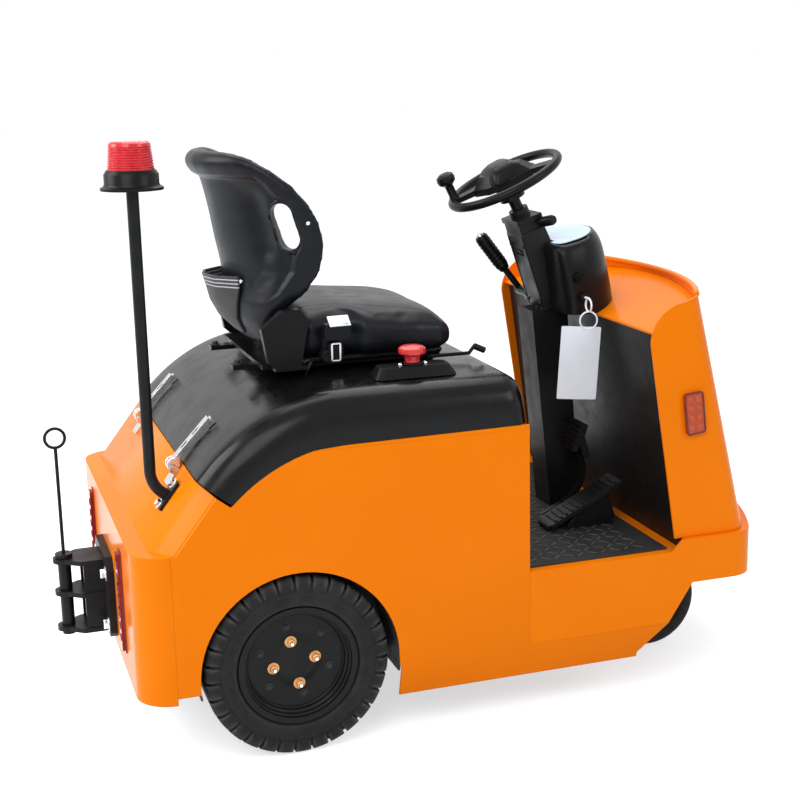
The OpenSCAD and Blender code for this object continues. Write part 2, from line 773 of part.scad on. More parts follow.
module steering_wheel() {
    color(black) at_axle() on_column() {
        rotate_extrude($fn = 96) translate([wheel_r, 0]) circle(r = rim_tube_r, $fn = 32);
        for (a = [150, -40, 55])
            rotate([0, 0, a]) {
                across(-15, 15) polygon([[30, -4], [wheel_r - 2, -7], [wheel_r - 2, 4], [70, 8], [30, 10]]);
            }
        translate([0, 0, -46]) cylinder(r = 30, h = 40, $fn = 48);
        rotate([0, 0, -35]) scale([1.3, 0.9, 1]) rotate([0, 0, 22.5]) {
            translate([0, 0, -8]) cylinder(r = 61, h = 16, $fn = 8);
            translate([0, 0, 7]) cylinder(r1 = 60, r2 = 41, h = 23, $fn = 8);
        }
        translate([0, 0, -170]) cylinder(r = 14, h = 130, $fn = 48);
        rotate([0, 0, 150]) translate([wheel_r - 6, 0, 0]) rotate_extrude($fn = 48)
            polygon([[0, 4], [13, 4], [10, 14], [10, 38], [20, 46], [22, 54], [20, 63], [12, 68], [0, 69]]);
    }
}

// Pod levels: rear height, front height, rear x, front x, half width
pod_levels = [
    [812.2, 812.2, 722, 886, 142],
    [862, 862, 716, 880, 141],
    [928, 940, 706, 864, 137],
    [950, 972, 702, 854, 132],
    [961, 988, 702, 845, 124],
    [967, 997, 706, 836, 114]];
function pod_half(row) =
    let (xr = row[2], xf = row[3], w = row[4], xm = xr + 40)
    concat([for (i = [9 : -1 : 1]) let (a = 9.4 * i) [xm + (xf - xm) * sin(a), w * cos(a)]],
        [[xr + 20, w], [xr + 8, 0.94 * w], [xr + 3, 0.82 * w], [xr, 0.3 * w]]);
function pod_ring(row) =
    let (half = pod_half(row), k = len(half), tilt = (row[1] - row[0]) / (row[3] - row[2]),
        all = concat(half, [for (i = [1 : k]) [half[k - i][0], -half[k - i][1]]]))
    [for (v = all) [v[0], v[1], row[0] + tilt * (v[0] - row[2])]];

module dash_pod() {
    color(black) at_axle() difference() {
        loft([for (row = pod_levels) pod_ring(row)]);
        column_box(0.3);
        for (p = key_places) bar_y(p[0], p[1], 11.3, -170, -128);
        across(-200, 200) polygon([[780, 700], [1000, 700], [1000, deck_top(1000) + 0.3], [780, deck_top(780) + 0.3]]);
    }
}

// Glossy plate over the pod's sloped top, 7 mm inside its edge
module dash_panel() {
    top = pod_levels[5];
    tilt = atan2(top[1] - top[0], top[3] - top[2]);
    half = pod_half([0, 0, 7, (top[3] - top[2]) / cos(tilt) - 7, top[4] - 7]);
    color([0.6, 0.7, 0.78]) at_axle() translate([top[2], 0, top[0]]) rotate([0, -tilt, 0]) difference() {
        up(0.3, 2.3) polygon(concat(half, [for (i = [1 : len(half)]) let (v = half[len(half) - i]) [v[0], -v[1]]]));
        translate([-20, -62, -5]) cube([40, 124, 20]);
    }
}

module key_switch() {
    color(steel) at_axle() {
        for (p = key_places) bar_y(p[0], p[1], 11, -152, -128.3);
        bar_y(key_places[0][0], key_places[0][1], 5, -164, -151);
        across(-176, -163) translate(key_places[0]) rounded(4, 26, 1.5);
    }
}

module key_tag() {
    color([0.92, 0.93, 0.95]) at_axle() {
        bar_y(760, 853, 3, -171, -152.3);
        translate([760, -169.8, 838]) rotate([0, 90, 0])
            rotate_extrude($fn = 48) translate([15, 0]) circle(r = 2.2, $fn = 16);
        translate([760, -169.8, 803]) rotate([0, 0, -10]) rotate([90, 0, 0])
            rotate_extrude($fn = 48) translate([20, 0]) circle(r = 2, $fn = 16);
        translate([744, -167, 790]) rotate([0, 4, -10]) across(-0.8, 0.8) translate([0, -84]) rounded(92, 168, 3);
    }
}

module brake_lever() {
    lean = 37.4;
    color(black) at_axle() translate([706, 100, 840]) {
        rotate([0, -lean, 0]) {
            cylinder(r = 8, h = 80, $fn = 32);
            translate([0, 0, 66]) cylinder(r1 = 12, r2 = 16, h = 14, $fn = 32);
            translate([0, 0, 79]) cylinder(r = 16, h = 84, $fn = 32);
            translate([0, 0, 163]) cylinder(r1 = 16, r2 = 13, h = 6, $fn = 32);
            for (i = [0 : 6]) translate([0, 0, 90 + 10 * i]) cylinder(r = 17, h = 4, $fn = 32);
        }
        translate([0, -54.8, 0]) rotate([-90, 0, 0]) cylinder(r = 11, h = 66, $fn = 32);
    }
}

module brake_pedal() {
    foot_z = floor_z + 4;
    arm_c = [700, 430];
    color(dark) at_axle() {
        across(-92, -78) {
            difference() {
                translate(arm_c) circle(r = 92, $fn = 64);
                translate(arm_c) circle(r = 78, $fn = 64);
                polygon([[600, 200], [600, 700], [700, 700], arm_c, [736, 350], [700, 200]]);
                translate([600, 470]) square([300, 200]);
            }
            polygon([[730, 356], [739, 344], [706, foot_z], [676, foot_z]]);
        }
        across(-120, -52) polygon([[746, 486], [770, 552], [785, 546], [776, 520], [790, 470], [776, 466], [764, 500], [756, 482]]);
        for (i = [0 : 4]) across(-118, -54) translate([749.5 + 4.2 * i, 500 + 11.6 * i]) circle(r = 3, $fn = 24);
    }
}

module drive_pedal() {
    foot_z = floor_z + 4;
    pitch = 26.8;
    color(dark) at_axle() {
        translate([646, 0, foot_z + 12]) rotate([0, -pitch, 0]) {
            box([0, -228, -5], [196, -158, 5]);
            for (i = [0 : 11]) box([14 + 15 * i, -222, 4.9], [20 + 15 * i, -164, 8]);
        }
        bar_y(646, foot_z + 8, 8, -222, -164);
        box([640, -216, foot_z], [806, -170, foot_z + 5]);
        for (y = [-212, -180])
            across(y, y + 6) polygon([[690, foot_z], [800, foot_z], [806, 368], [790, 408], [770, 404], [735, 386]]);
        bar_y(800, 352, 12, -206, -180);
    }
}

// Tyre section turned about the axle
module tyre(r, w, bead_r, shoulder, bead_w, flange_r) {
    rotate([-90, 0, 0]) rotate_extrude($fn = 96) difference() {
        union() {
            translate([bead_r, -w / 2 + shoulder]) square([r - bead_r, w - 2 * shoulder]);
            translate([bead_r, -w / 2]) square([r - bead_r - shoulder, w]);
            for (s = [-1, 1]) translate([r - shoulder, s * (w / 2 - shoulder)]) circle(r = shoulder, $fn = 32);
        }
        translate([0, -w]) square([bead_r, 2 * w]);
        if (flange_r > bead_r)
            for (s = [-1, 1]) translate([0, s * (bead_w + w) / 2 - w / 2]) square([flange_r, w]);
    }
}

// Dished rear rim
module rim() {
    rotate([-90, 0, 0]) difference() {
        union() {
            rotate_extrude($fn = 96) polygon([[100, -52], [124, -52], [124, -46], [118, -44], [118, 44], [124, 46], [124, 50], [112, 50],
                [106, 20], [60, 12], [40, 18], [40, 2], [100, 2]]);
            translate([0, 0, -6]) cylinder(r = 42, h = 24, $fn = 64);
        }
        translate([0, 0, -60]) cylinder(r = 24.95 + shaft_gap, h = 75, $fn = 64);
    }
}

module rear_tyre_left() {
    color(rubber) at_axle() translate([0, rear_y, rear_r]) tyre(rear_r, rear_tyre_w, 118.3, 14, 88, 126);
}

module rear_rim_left() {
    color(black) at_axle() translate([0, rear_y, rear_r]) rim();
}

module rear_tyre_right() {
    mirror([0, 1, 0]) rear_tyre_left();
}

module rear_rim_right() {
    mirror([0, 1, 0]) rear_rim_left();
}

module steer_bogie() {
    plate_z = 299.7;
    color(dark) at_axle() translate([wheelbase, 0, 0]) {
        translate([0, 0, 280]) cylinder(r = 115, h = plate_z - 280, $fn = 96);
        translate([0, 0, 262]) cylinder(r = 95, h = 19, $fn = 96);
        translate([0, 0, plate_z - 1]) cylinder(r = 30, h = 16, $fn = 64);
        along(-26, 26) polygon([[-94, 84], [94, 84], [94, 146], [62, 263], [-62, 263], [-94, 146]]);
        across(-14, 14) polygon([[-70, 263], [-40, 100], [40, 100], [70, 263]]);
        bar_y(0, front_r, 36, -96, 96);
        bar_y(0, front_r, 14.95, -176, 176);
    }
}

// Round lamps on the leaning front of the cowl
module head_lamps() {
    back = (nose_r - cowl_in) * (1 - 1 / cos(cowl_lean));
    color([0.85, 0.87, 0.9]) at_axle() translate([nose_cx + back, 0, bumper_top_z]) rotate([0, -cowl_lean, 0])
        for (aim = [-10.2, 10.2]) rotate([0, 0, aim]) translate([nose_r - cowl_in + 0.3, 0, 212]) rotate([0, 90, 0]) {
            cylinder(r = 52, h = 8, $fn = 64);
            translate([0, 0, 7]) cylinder(r1 = 47, r2 = 43, h = 4, $fn = 64);
        }
}

module front_tyre_left() {
    color(rubber) at_axle() translate([wheelbase, front_y, front_r]) tyre(front_r, front_tyre_w, 78.3, 10, front_tyre_w, 0);
}

module front_hub_left() {
    color(black) at_axle() translate([wheelbase, front_y, front_r]) rotate([-90, 0, 0]) difference() {
        translate([0, 0, -front_tyre_w / 2]) cylinder(r = 78, h = front_tyre_w, $fn = 64);
        translate([0, 0, -60]) cylinder(r = 15, h = 120, $fn = 64);
        translate([0, 0, 15]) difference() {
            cylinder(r = 66, h = 60, $fn = 64);
            translate([0, 0, -1]) cylinder(r = 32, h = 62, $fn = 64);
        }
    }
}

module front_tyre_right() {
    mirror([0, 1, 0]) front_tyre_left();
}

module front_hub_right() {
    mirror([0, 1, 0]) front_hub_left();
}

rear_panel();
side_panels();
arch_liners();
bulkhead();
front_frame();
tread_plate();
front_cowl();
deck();
leg_shield();
chassis();
battery();
rear_axle();
tow_coupling();
tail_lamps();
side_lamps();
beacon_post();
beacon_base();
beacon_lens();
latch_bases();
hinge_pins();
steering_column();
dash_pod();
dash_panel();
direction_switch();
head_lamps();
key_switch();
key_tag();
brake_lever();
brake_pedal();
drive_pedal();
hood();
hood_hinges();
seat_base();
seat_cushion();
seat_back();
back_pad();
back_pocket();
belt_buckle();
stop_pad();
stop_button();
latch_levers();
rear_tyre_left();
rear_rim_left();
rear_tyre_right();
rear_rim_right();
steer_bogie();
front_tyre_left();
front_hub_left();
front_tyre_right();
front_hub_right();
steering_wheel();
tow_pin();
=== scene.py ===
import json
import math

import bpy
import numpy as np
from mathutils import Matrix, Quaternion, Vector

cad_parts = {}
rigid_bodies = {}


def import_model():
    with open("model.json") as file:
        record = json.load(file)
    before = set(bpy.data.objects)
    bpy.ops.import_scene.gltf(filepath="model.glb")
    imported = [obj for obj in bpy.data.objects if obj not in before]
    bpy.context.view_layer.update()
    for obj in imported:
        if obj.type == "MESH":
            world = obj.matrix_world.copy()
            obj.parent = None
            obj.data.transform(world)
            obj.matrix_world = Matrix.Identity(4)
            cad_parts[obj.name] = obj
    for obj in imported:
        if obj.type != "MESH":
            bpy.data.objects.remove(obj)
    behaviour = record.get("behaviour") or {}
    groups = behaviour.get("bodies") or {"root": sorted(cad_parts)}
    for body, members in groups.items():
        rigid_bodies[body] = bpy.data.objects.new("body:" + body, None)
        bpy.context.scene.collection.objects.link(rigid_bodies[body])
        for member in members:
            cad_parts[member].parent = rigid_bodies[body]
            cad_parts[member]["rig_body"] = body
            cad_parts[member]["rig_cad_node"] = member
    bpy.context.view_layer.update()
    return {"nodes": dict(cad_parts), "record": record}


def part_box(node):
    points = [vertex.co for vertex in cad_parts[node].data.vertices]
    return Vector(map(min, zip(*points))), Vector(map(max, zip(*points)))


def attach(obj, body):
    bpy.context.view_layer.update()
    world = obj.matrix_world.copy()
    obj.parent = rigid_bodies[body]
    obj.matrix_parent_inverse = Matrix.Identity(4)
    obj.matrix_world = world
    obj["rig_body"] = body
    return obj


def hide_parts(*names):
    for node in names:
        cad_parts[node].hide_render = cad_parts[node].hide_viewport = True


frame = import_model()
node = frame["nodes"]

# The rear axle's place along the part, in metres
AXLE_X = -0.3565
MM = 0.001
# Points nearer than this are one point, in metres
MERGE = 1e-5
# Select modes of edit mode: points, edges
POINTS = (True, False, False)
EDGES = (False, True, False)


def at(x, y, z):
    """A point given in millimetres from the rear axle."""
    return Vector((x * MM + AXLE_X, y * MM, z * MM))


# The camera fitted to the photograph: place in metres, turns in degrees, lens in millimetres
CAMERA_PLACE = (-0.98777, -3.12007, 1.37465)
CAMERA_TURNS = (-19.294, 13.019, -0.944)
CAMERA_LENS = 65.546
CAMERA_SHIFT = -0.05


def place_camera():
    azimuth, elevation, roll = (math.radians(v) for v in CAMERA_TURNS)
    back = Vector((math.sin(azimuth) * math.cos(elevation), -math.cos(azimuth) * math.cos(elevation),
                   math.sin(elevation)))
    bpy.ops.object.camera_add(location=CAMERA_PLACE)
    camera = bpy.context.active_object
    camera.name = "photo_camera"
    camera.rotation_mode = "QUATERNION"
    camera.rotation_quaternion = (-back).to_track_quat("-Z", "Y") @ Quaternion((0, 0, 1), roll)
    camera.data.sensor_width = 36.0
    camera.data.lens = CAMERA_LENS
    camera.data.shift_x = CAMERA_SHIFT
    bpy.context.scene.camera = camera


place_camera()


# Modelling by hand


def deselect():
    if bpy.context.mode != "OBJECT":
        bpy.ops.object.mode_set(mode="OBJECT")
    bpy.ops.object.select_all(action="DESELECT")


def begin(add, **values):
    """Adds one primitive with nothing else selected."""
    deselect()
    add(**values)
    return bpy.context.active_object


def only(obj):
    deselect()
    obj.select_set(True)
    bpy.context.view_layer.objects.active = obj
    return obj


def edit(obj, mode=(False, False, True)):
    only(obj)
    bpy.context.tool_settings.mesh_select_mode = mode
    bpy.ops.object.mode_set(mode="EDIT")


def leave():
    bpy.ops.object.mode_set(mode="OBJECT")


def pick_faces(obj, test):
    """Selects the faces whose centre and normal pass, and enters edit mode."""
    only(obj)
    mesh = obj.data
    mesh.vertices.foreach_set("select", [False] * len(mesh.vertices))
    mesh.edges.foreach_set("select", [False] * len(mesh.edges))
    mesh.polygons.foreach_set("select", [bool(test(p.center, p.normal)) for p in mesh.polygons])
    edit(obj)


def modify(obj, kind, **values):
    """Adds a modifier and applies it."""
    only(obj)
    mod = obj.modifiers.new(kind.lower(), kind)
    for key, value in values.items():
        setattr(mod, key, value)
    bpy.ops.object.modifier_apply(modifier=mod.name)
    return obj


def settle(obj):
    """Leaves the piece at the origin, with its place in its mesh."""
    only(obj)
    bpy.ops.object.transform_apply(location=True, rotation=True, scale=True)
    return obj


def edit_all(obj, mode=(False, False, True)):
    edit(obj, mode)
    bpy.ops.mesh.select_all(action="SELECT")


def tidy_mesh(obj):
    """Merges points that coincide and turns all faces outward."""
    edit_all(obj)
    bpy.ops.mesh.remove_doubles(threshold=MERGE)
    bpy.ops.mesh.normals_make_consistent(inside=False)
    leave()
    return obj


def join(objs):
    deselect()
    for o in objs:
        o.select_set(True)
    bpy.context.view_layer.objects.active = objs[0]
    if len(objs) > 1:
        bpy.ops.object.join()
    return bpy.context.active_object


def copy(obj):
    only(obj)
    bpy.ops.object.duplicate(linked=False)
    return bpy.context.active_object


def copy_node(name):
    """A loose copy of a CAD node, its triangles merged."""
    made = copy(node[name])
    made.parent = None
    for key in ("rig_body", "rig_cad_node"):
        if key in made:
            del made[key]
    edit_all(made)
    bpy.ops.mesh.remove_doubles(threshold=MERGE)
    leave()
    return made


def dress(obj, name, body, finish, smooth=35):
    """Names a finished piece, gives it its finish and sets it on its body."""
    settle(obj)
    obj.name = name
    if smooth:
        bpy.ops.object.shade_smooth_by_angle(angle=math.radians(smooth))
    obj.data.materials.clear()
    obj.data.materials.append(finish)
    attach(obj, body)
    return obj


# Finishes


def new_finish(name, **sockets):
    """A finish with its shader's own values set."""
    finish = bpy.data.materials.new(name)
    finish.use_nodes = True
    shader = finish.node_tree.nodes["Principled BSDF"]
    for key, value in sockets.items():
        shader.inputs[key.replace("_", " ")].default_value = value
    return finish


def add(finish, kind, **values):
    made = finish.node_tree.nodes.new(kind)
    for key, value in values.items():
        if hasattr(made, key):
            setattr(made, key, value)
        else:
            made.inputs[key.replace("_", " ")].default_value = value
    return made


def link(finish, out, into):
    finish.node_tree.links.new(out, into)


def shader_of(finish):
    return finish.node_tree.nodes["Principled BSDF"]


def coords(finish):
    return add(finish, "ShaderNodeTexCoord").outputs["Object"]


def noise(finish, scale, detail=3.0, rough=0.55):
    made = add(finish, "ShaderNodeTexNoise", Scale=scale, Detail=detail, Roughness=rough)
    link(finish, coords(finish), made.inputs["Vector"])
    return made.outputs["Fac"]


def blend_colours(finish, fac, stops):
    ramp = add(finish, "ShaderNodeValToRGB")
    while len(ramp.color_ramp.elements) < len(stops):
        ramp.color_ramp.elements.new(0.5)
    for element, (place, colour) in zip(ramp.color_ramp.elements, stops):
        element.position = place
        element.color = (*colour, 1.0)
    link(finish, fac, ramp.inputs["Fac"])
    return ramp.outputs["Color"]


def spread(finish, fac, low, high, start=0.3, end=0.7):
    """Maps a pattern to a range of roughness."""
    made = add(finish, "ShaderNodeMapRange")
    for key, value in (("From Min", start), ("From Max", end), ("To Min", low), ("To Max", high)):
        made.inputs[key].default_value = value
    link(finish, fac, made.inputs["Value"])
    return made.outputs["Result"]


def grain(finish, height, strength, distance, edge=0.0):
    """Puts a bump on the finish, over softened edges where edge is given."""
    bump = add(finish, "ShaderNodeBump", Strength=strength, Distance=distance)
    link(finish, height, bump.inputs["Height"])
    if edge:
        soft = add(finish, "ShaderNodeBevel", samples=8, Radius=edge)
        link(finish, soft.outputs["Normal"], bump.inputs["Normal"])
    link(finish, bump.outputs["Normal"], shader_of(finish).inputs["Normal"])


def coloured(finish, fac, stops):
    link(finish, blend_colours(finish, fac, stops), shader_of(finish).inputs["Base Color"])


def roughened(finish, fac, low, high):
    link(finish, spread(finish, fac, low, high), shader_of(finish).inputs["Roughness"])


def overlay(finish, share, colour):
    """Lays a second colour over the finish's own by a share."""
    base = shader_of(finish).inputs["Base Color"]
    mixed = add(finish, "ShaderNodeMix", data_type="RGBA")
    link(finish, share, mixed.inputs["Factor"])
    link(finish, base.links[0].from_socket, mixed.inputs["A"])
    link(finish, colour, mixed.inputs["B"])
    link(finish, mixed.outputs["Result"], base)


def orange_paint():
    made = new_finish("orange_paint", IOR=1.14)
    coloured(made, noise(made, 2.2, 4.0), [(0.3, (0.87, 0.192, 0.001)), (0.7, (0.91, 0.21, 0.0016))])
    roughened(made, noise(made, 6.0), 0.16, 0.24)
    grain(made, noise(made, 160.0, 1.0), 0.02, 0.0002, edge=0.0035)
    return made


def moulded_black(name, tone, rough, scale=900.0, strength=0.25, gloss=0.13):
    made = new_finish(name, Specular_IOR_Level=gloss)
    light = (tone * 1.2, tone * 1.2, tone * 1.26)
    coloured(made, noise(made, 7.0, 5.0), [(0.3, (tone * 0.85,) * 3), (0.7, light)])
    roughened(made, noise(made, 20.0), rough - 0.06, rough + 0.08)
    grain(made, noise(made, scale, 2.0), strength, 0.0004, edge=0.0015)
    return made


def powder_steel(name, tone, rough):
    made = new_finish(name, Metallic=0.1, Specular_IOR_Level=0.16)
    coloured(made, noise(made, 16.0, 6.0), [(0.3, (tone * 0.8,) * 3), (0.72, (tone * 1.35,) * 3)])
    roughened(made, noise(made, 30.0), rough - 0.07, rough + 0.1)
    grain(made, noise(made, 1400.0, 2.0), 0.18, 0.0003, edge=0.001)
    return made


def plated_steel():
    made = new_finish("plated_steel", Metallic=1.0)
    coloured(made, noise(made, 25.0, 4.0), [(0.3, (0.66, 0.67, 0.69)), (0.7, (0.8, 0.81, 0.83))])
    roughened(made, noise(made, 60.0), 0.14, 0.26)
    grain(made, noise(made, 260.0), 0.04, 0.0002, edge=0.0008)
    return made


def tyre_rubber():
    made = new_finish("tyre_rubber", Specular_IOR_Level=0.2)
    coloured(made, noise(made, 22.0, 6.0), [(0.28, (0.009, 0.008, 0.008)), (0.75, (0.021, 0.019, 0.019))])
    # Lighter rubber on the sharp edges, picked by pointiness: partly wear on the lug edges, partly a painted
    # highlight where the top light catches them
    edges = add(made, "ShaderNodeNewGeometry").outputs["Pointiness"]
    edge_wear_and_highlight = blend_colours(made, noise(made, 60.0), [(0.3, (0.05, 0.047, 0.046)), (0.7, (0.13, 0.125, 0.12))])
    overlay(made, spread(made, edges, 0.0, 1.0, 0.53, 0.6), edge_wear_and_highlight)
    roughened(made, noise(made, 45.0), 0.62, 0.82)
    grain(made, noise(made, 1100.0, 3.0), 0.3, 0.0004)
    return made


def seat_vinyl():
    made = new_finish("seat_vinyl", Specular_IOR_Level=0.17)
    coloured(made, noise(made, 9.0, 5.0), [(0.3, (0.004, 0.0045, 0.006)), (0.7, (0.008, 0.0085, 0.011))])
    roughened(made, noise(made, 26.0), 0.3, 0.4)
    cells = add(made, "ShaderNodeTexVoronoi", Scale=620.0, feature="DISTANCE_TO_EDGE")
    link(made, coords(made), cells.inputs["Vector"])
    grain(made, cells.outputs["Distance"], 0.14, 0.0005)
    return made


def woven_web():
    made = new_finish("woven_web", Sheen_Weight=0.2)
    weave = add(made, "ShaderNodeTexChecker", Scale=700.0)
    link(made, coords(made), weave.inputs["Vector"])
    coloured(made, weave.outputs["Fac"], [(0.0, (0.018, 0.018, 0.019)), (1.0, (0.034, 0.034, 0.036))])
    roughened(made, noise(made, 80.0), 0.7, 0.86)
    grain(made, weave.outputs["Fac"], 0.4, 0.0004)
    return made


# Heights of the pocket's elastic threads, and half the width of a thread and of its soft edge, in metres
THREADS = (0.9185, 0.9265, 0.9345)
THREAD_HALF = 0.0009
THREAD_EDGE = 0.0014
THREAD_MARGIN = 0.001


def striped_web():
    """Woven cloth with pale elastic threads under the pocket's upper edge."""
    made = woven_web()
    made.name = "pocket_cloth"
    height = add(made, "ShaderNodeSeparateXYZ")
    link(made, coords(made), height.inputs["Vector"])
    bands = []
    for z in THREADS:
        bands += [(z - THREAD_EDGE, 0.0), (z - THREAD_HALF, 1.0)]
        bands += [(z + THREAD_HALF, 1.0), (z + THREAD_EDGE, 0.0)]
    low = bands[0][0] - THREAD_MARGIN
    high = bands[-1][0] + THREAD_MARGIN
    share = spread(made, height.outputs["Z"], 0.0, 1.0, low, high)
    mask = blend_colours(made, share, [((z - low) / (high - low), (on, on, on)) for z, on in bands])
    pale = blend_colours(made, noise(made, 300.0), [(0.3, (0.45, 0.45, 0.46)), (0.7, (0.62, 0.62, 0.63))])
    overlay(made, mask, pale)
    return made


def coloured_lens(name, deep, bright):
    made = new_finish(name, Specular_IOR_Level=0.3, Coat_Weight=0.15, Coat_Roughness=0.05,
                      Transmission_Weight=0.1)
    coloured(made, noise(made, 90.0), [(0.3, deep), (0.7, bright)])
    roughened(made, noise(made, 140.0), 0.08, 0.18)
    grain(made, noise(made, 300.0), 0.06, 0.0003, edge=0.001)
    return made


def gloss_plastic(name, dark, light, low, high):
    made = new_finish(name, Coat_Weight=0.3)
    coloured(made, noise(made, 40.0, 4.0), [(0.3, dark), (0.7, light)])
    roughened(made, noise(made, 60.0), low, high)
    grain(made, noise(made, 900.0), 0.05, 0.0002, edge=0.0008)
    return made


paint = orange_paint()
hood_black = moulded_black("hood_black", 0.0035, 0.22, 700.0, 0.06, gloss=0.19)
trim_black = moulded_black("trim_black", 0.006, 0.3, 900.0, 0.12)
black_steel = powder_steel("black_steel", 0.009, 0.36)
dark_steel = powder_steel("dark_steel", 0.036, 0.46)
# Paler steel for the raised tread bars: its lighter tone is a painted highlight on the bars, and its lower
# roughness makes them shinier
bar_highlight_steel = powder_steel("bar_highlight_steel", 0.085, 0.34)
zinc = plated_steel()
rubber = tyre_rubber()
vinyl = seat_vinyl()
webbing = woven_web()
pocket_cloth = striped_web()
red_lens = coloured_lens("red_lens", (0.66, 0.012, 0.022), (0.8, 0.028, 0.042))
amber_lens = coloured_lens("amber_lens", (0.42, 0.04, 0.003), (0.56, 0.065, 0.005))
clear_lens = gloss_plastic("clear_lens", (0.62, 0.65, 0.68), (0.78, 0.8, 0.82), 0.05, 0.12)
red_plastic = gloss_plastic("red_plastic", (0.6, 0.012, 0.014), (0.72, 0.025, 0.024), 0.22, 0.34)
dash_face = gloss_plastic("dash_face", (0.56, 0.74, 0.86), (0.66, 0.82, 0.93), 0.06, 0.14)
card = gloss_plastic("card", (0.86, 0.89, 0.95), (0.91, 0.94, 0.98), 0.45, 0.6)
brass = gloss_plastic("brass_tint", (0.42, 0.2, 0.07), (0.6, 0.32, 0.12), 0.25, 0.4)
shader_of(brass).inputs["Metallic"].default_value = 1.0
tail_red = coloured_lens("tail_red", (0.2, 0.004, 0.006), (0.3, 0.009, 0.011))
deep_amber = coloured_lens("deep_amber", (0.11, 0.008, 0.002), (0.18, 0.013, 0.003))
bright_amber = coloured_lens("bright_amber", (0.5, 0.055, 0.004), (0.66, 0.085, 0.007))

FINISH_OF_SLOT = {
    "paint": paint, "dark_steel": dark_steel, "black_steel": black_steel, "black_plastic": trim_black,
    "red_lens": red_lens, "amber_lens": amber_lens, "clear_lens": clear_lens, "zinc": zinc,
    "display": dash_face, "card": card, "vinyl": vinyl, "webbing": webbing, "red_plastic": red_plastic,
    "tyre": rubber,
}
# Nodes that differ from their slot's finish
OWN_FINISH = {
    "hood": hood_black, "back_pocket": pocket_cloth, "key_switch": trim_black, "tail_lamps": tail_red,
}
NODE_SHARP = math.radians(32)
SLOT_OF_NODE = {row["node"]: row["material_slot"] for row in frame["record"]["subparts"]}
for name, obj in node.items():
    obj.data.materials.clear()
    obj.data.materials.append(OWN_FINISH.get(name, FINISH_OF_SLOT[SLOT_OF_NODE[name]]))
    obj.data.polygons.foreach_set("use_smooth", [True] * len(obj.data.polygons))
    obj.modifiers.new("weld", "WELD").merge_threshold = MERGE
    obj.modifiers.new("split", "EDGE_SPLIT").split_angle = NODE_SHARP


# Floor and light


LAMPS = [  # place, point aimed at, size, power
    ((-2.2, -3.0, 3.4), (0.0, 0.0, 0.5), 2.6, 86.0),
    ((2.4, -2.8, 2.6), (0.2, 0.0, 0.5), 1.8, 32.0),
    ((0.3, 1.4, 4.0), (0.0, 0.0, 0.4), 3.0, 80.0),
    ((-3.4, 0.6, 2.8), (-0.4, 0.0, 0.6), 2.2, 95.0),
]
SKY = [  # height, colour
    (0.0, (0.34, 0.35, 0.37)), (0.12, (0.5, 0.54, 0.6)), (0.45, (0.72, 0.82, 0.95)), (1.0, (0.86, 0.94, 1.0)),
]
SKY_POWER = 0.7
FLOOR_GLOW = 0.62
FLOOR_SIZE = 60


def seen_plainly(tree):
    """One for rays that look, mirror or pass through, so that they all meet the white."""
    path = tree.nodes.new("ShaderNodeLightPath")
    share = path.outputs["Is Camera Ray"]
    for ray in ("Is Glossy Ray", "Is Transmission Ray"):
        most = tree.nodes.new("ShaderNodeMath")
        most.operation = "MAXIMUM"
        tree.links.new(share, most.inputs[0])
        tree.links.new(path.outputs[ray], most.inputs[1])
        share = most.outputs["Value"]
    return share


def white_floor():
    """A wide floor that looks white and still takes the part's shadow."""
    floor = begin(bpy.ops.mesh.primitive_plane_add, size=FLOOR_SIZE)
    floor.name = "studio_floor"
    settle(floor)
    white = new_finish("studio_white", Base_Color=(0.72, 0.72, 0.72, 1), Roughness=0.9,
                       Specular_IOR_Level=0.1)
    glow = add(white, "ShaderNodeEmission", Strength=FLOOR_GLOW)
    both = add(white, "ShaderNodeAddShader")
    choice = add(white, "ShaderNodeMixShader")
    plain = shader_of(white).outputs["BSDF"]
    link(white, plain, both.inputs[0])
    link(white, glow.outputs["Emission"], both.inputs[1])
    link(white, seen_plainly(white.node_tree), choice.inputs["Fac"])
    link(white, plain, choice.inputs[1])
    link(white, both.outputs["Shader"], choice.inputs[2])
    link(white, choice.outputs["Shader"], white.node_tree.nodes["Material Output"].inputs["Surface"])
    floor.data.materials.append(white)


def hang_lamps():
    for place, aim_at, size, power in LAMPS:
        deselect()
        bpy.ops.object.light_add(type="AREA", location=place)
        lamp = bpy.context.active_object
        lamp.data.size = size
        lamp.data.energy = power
        lamp.rotation_euler = (Vector(aim_at) - Vector(place)).to_track_quat("-Z", "Y").to_euler()


def white_sky():
    """A sky that lights by its height and looks plain white."""
    world = bpy.data.worlds.new("studio_sky")
    world.use_nodes = True
    sky = world.node_tree.nodes["Background"]
    sky.inputs["Strength"].default_value = SKY_POWER
    height = add(world, "ShaderNodeSeparateXYZ")
    link(world, add(world, "ShaderNodeTexCoord").outputs["Generated"], height.inputs["Vector"])
    link(world, blend_colours(world, height.outputs["Z"], SKY), sky.inputs["Color"])
    ahead = add(world, "ShaderNodeBackground", Color=(1, 1, 1, 1))
    pick = add(world, "ShaderNodeMixShader")
    link(world, seen_plainly(world.node_tree), pick.inputs["Fac"])
    link(world, sky.outputs["Background"], pick.inputs[1])
    link(world, ahead.outputs["Background"], pick.inputs[2])
    link(world, pick.outputs["Shader"], world.node_tree.nodes["World Output"].inputs["Surface"])
    bpy.context.scene.world = world


white_floor()
hang_lamps()
white_sky()
bpy.context.scene.view_settings.view_transform = "Standard"

# Shared shapes


def spin(ring, steps, axis):
    """Turns a closed outline right round an axis through the origin."""
    edit_all(ring, POINTS)
    bpy.ops.mesh.spin(steps=steps, angle=2 * math.pi, center=(0, 0, 0), axis=axis)
    leave()
    return tidy_mesh(ring)


def turned(outline, steps):
    """A closed outline of (radius, height) in millimetres, turned about Z."""
    ring = begin(bpy.ops.mesh.primitive_circle_add, vertices=len(outline), radius=0.1)
    for vertex, (r, z) in zip(ring.data.vertices, outline):
        vertex.co = (r * MM, 0, z * MM)
    return spin(ring, steps, (0, 0, 1))


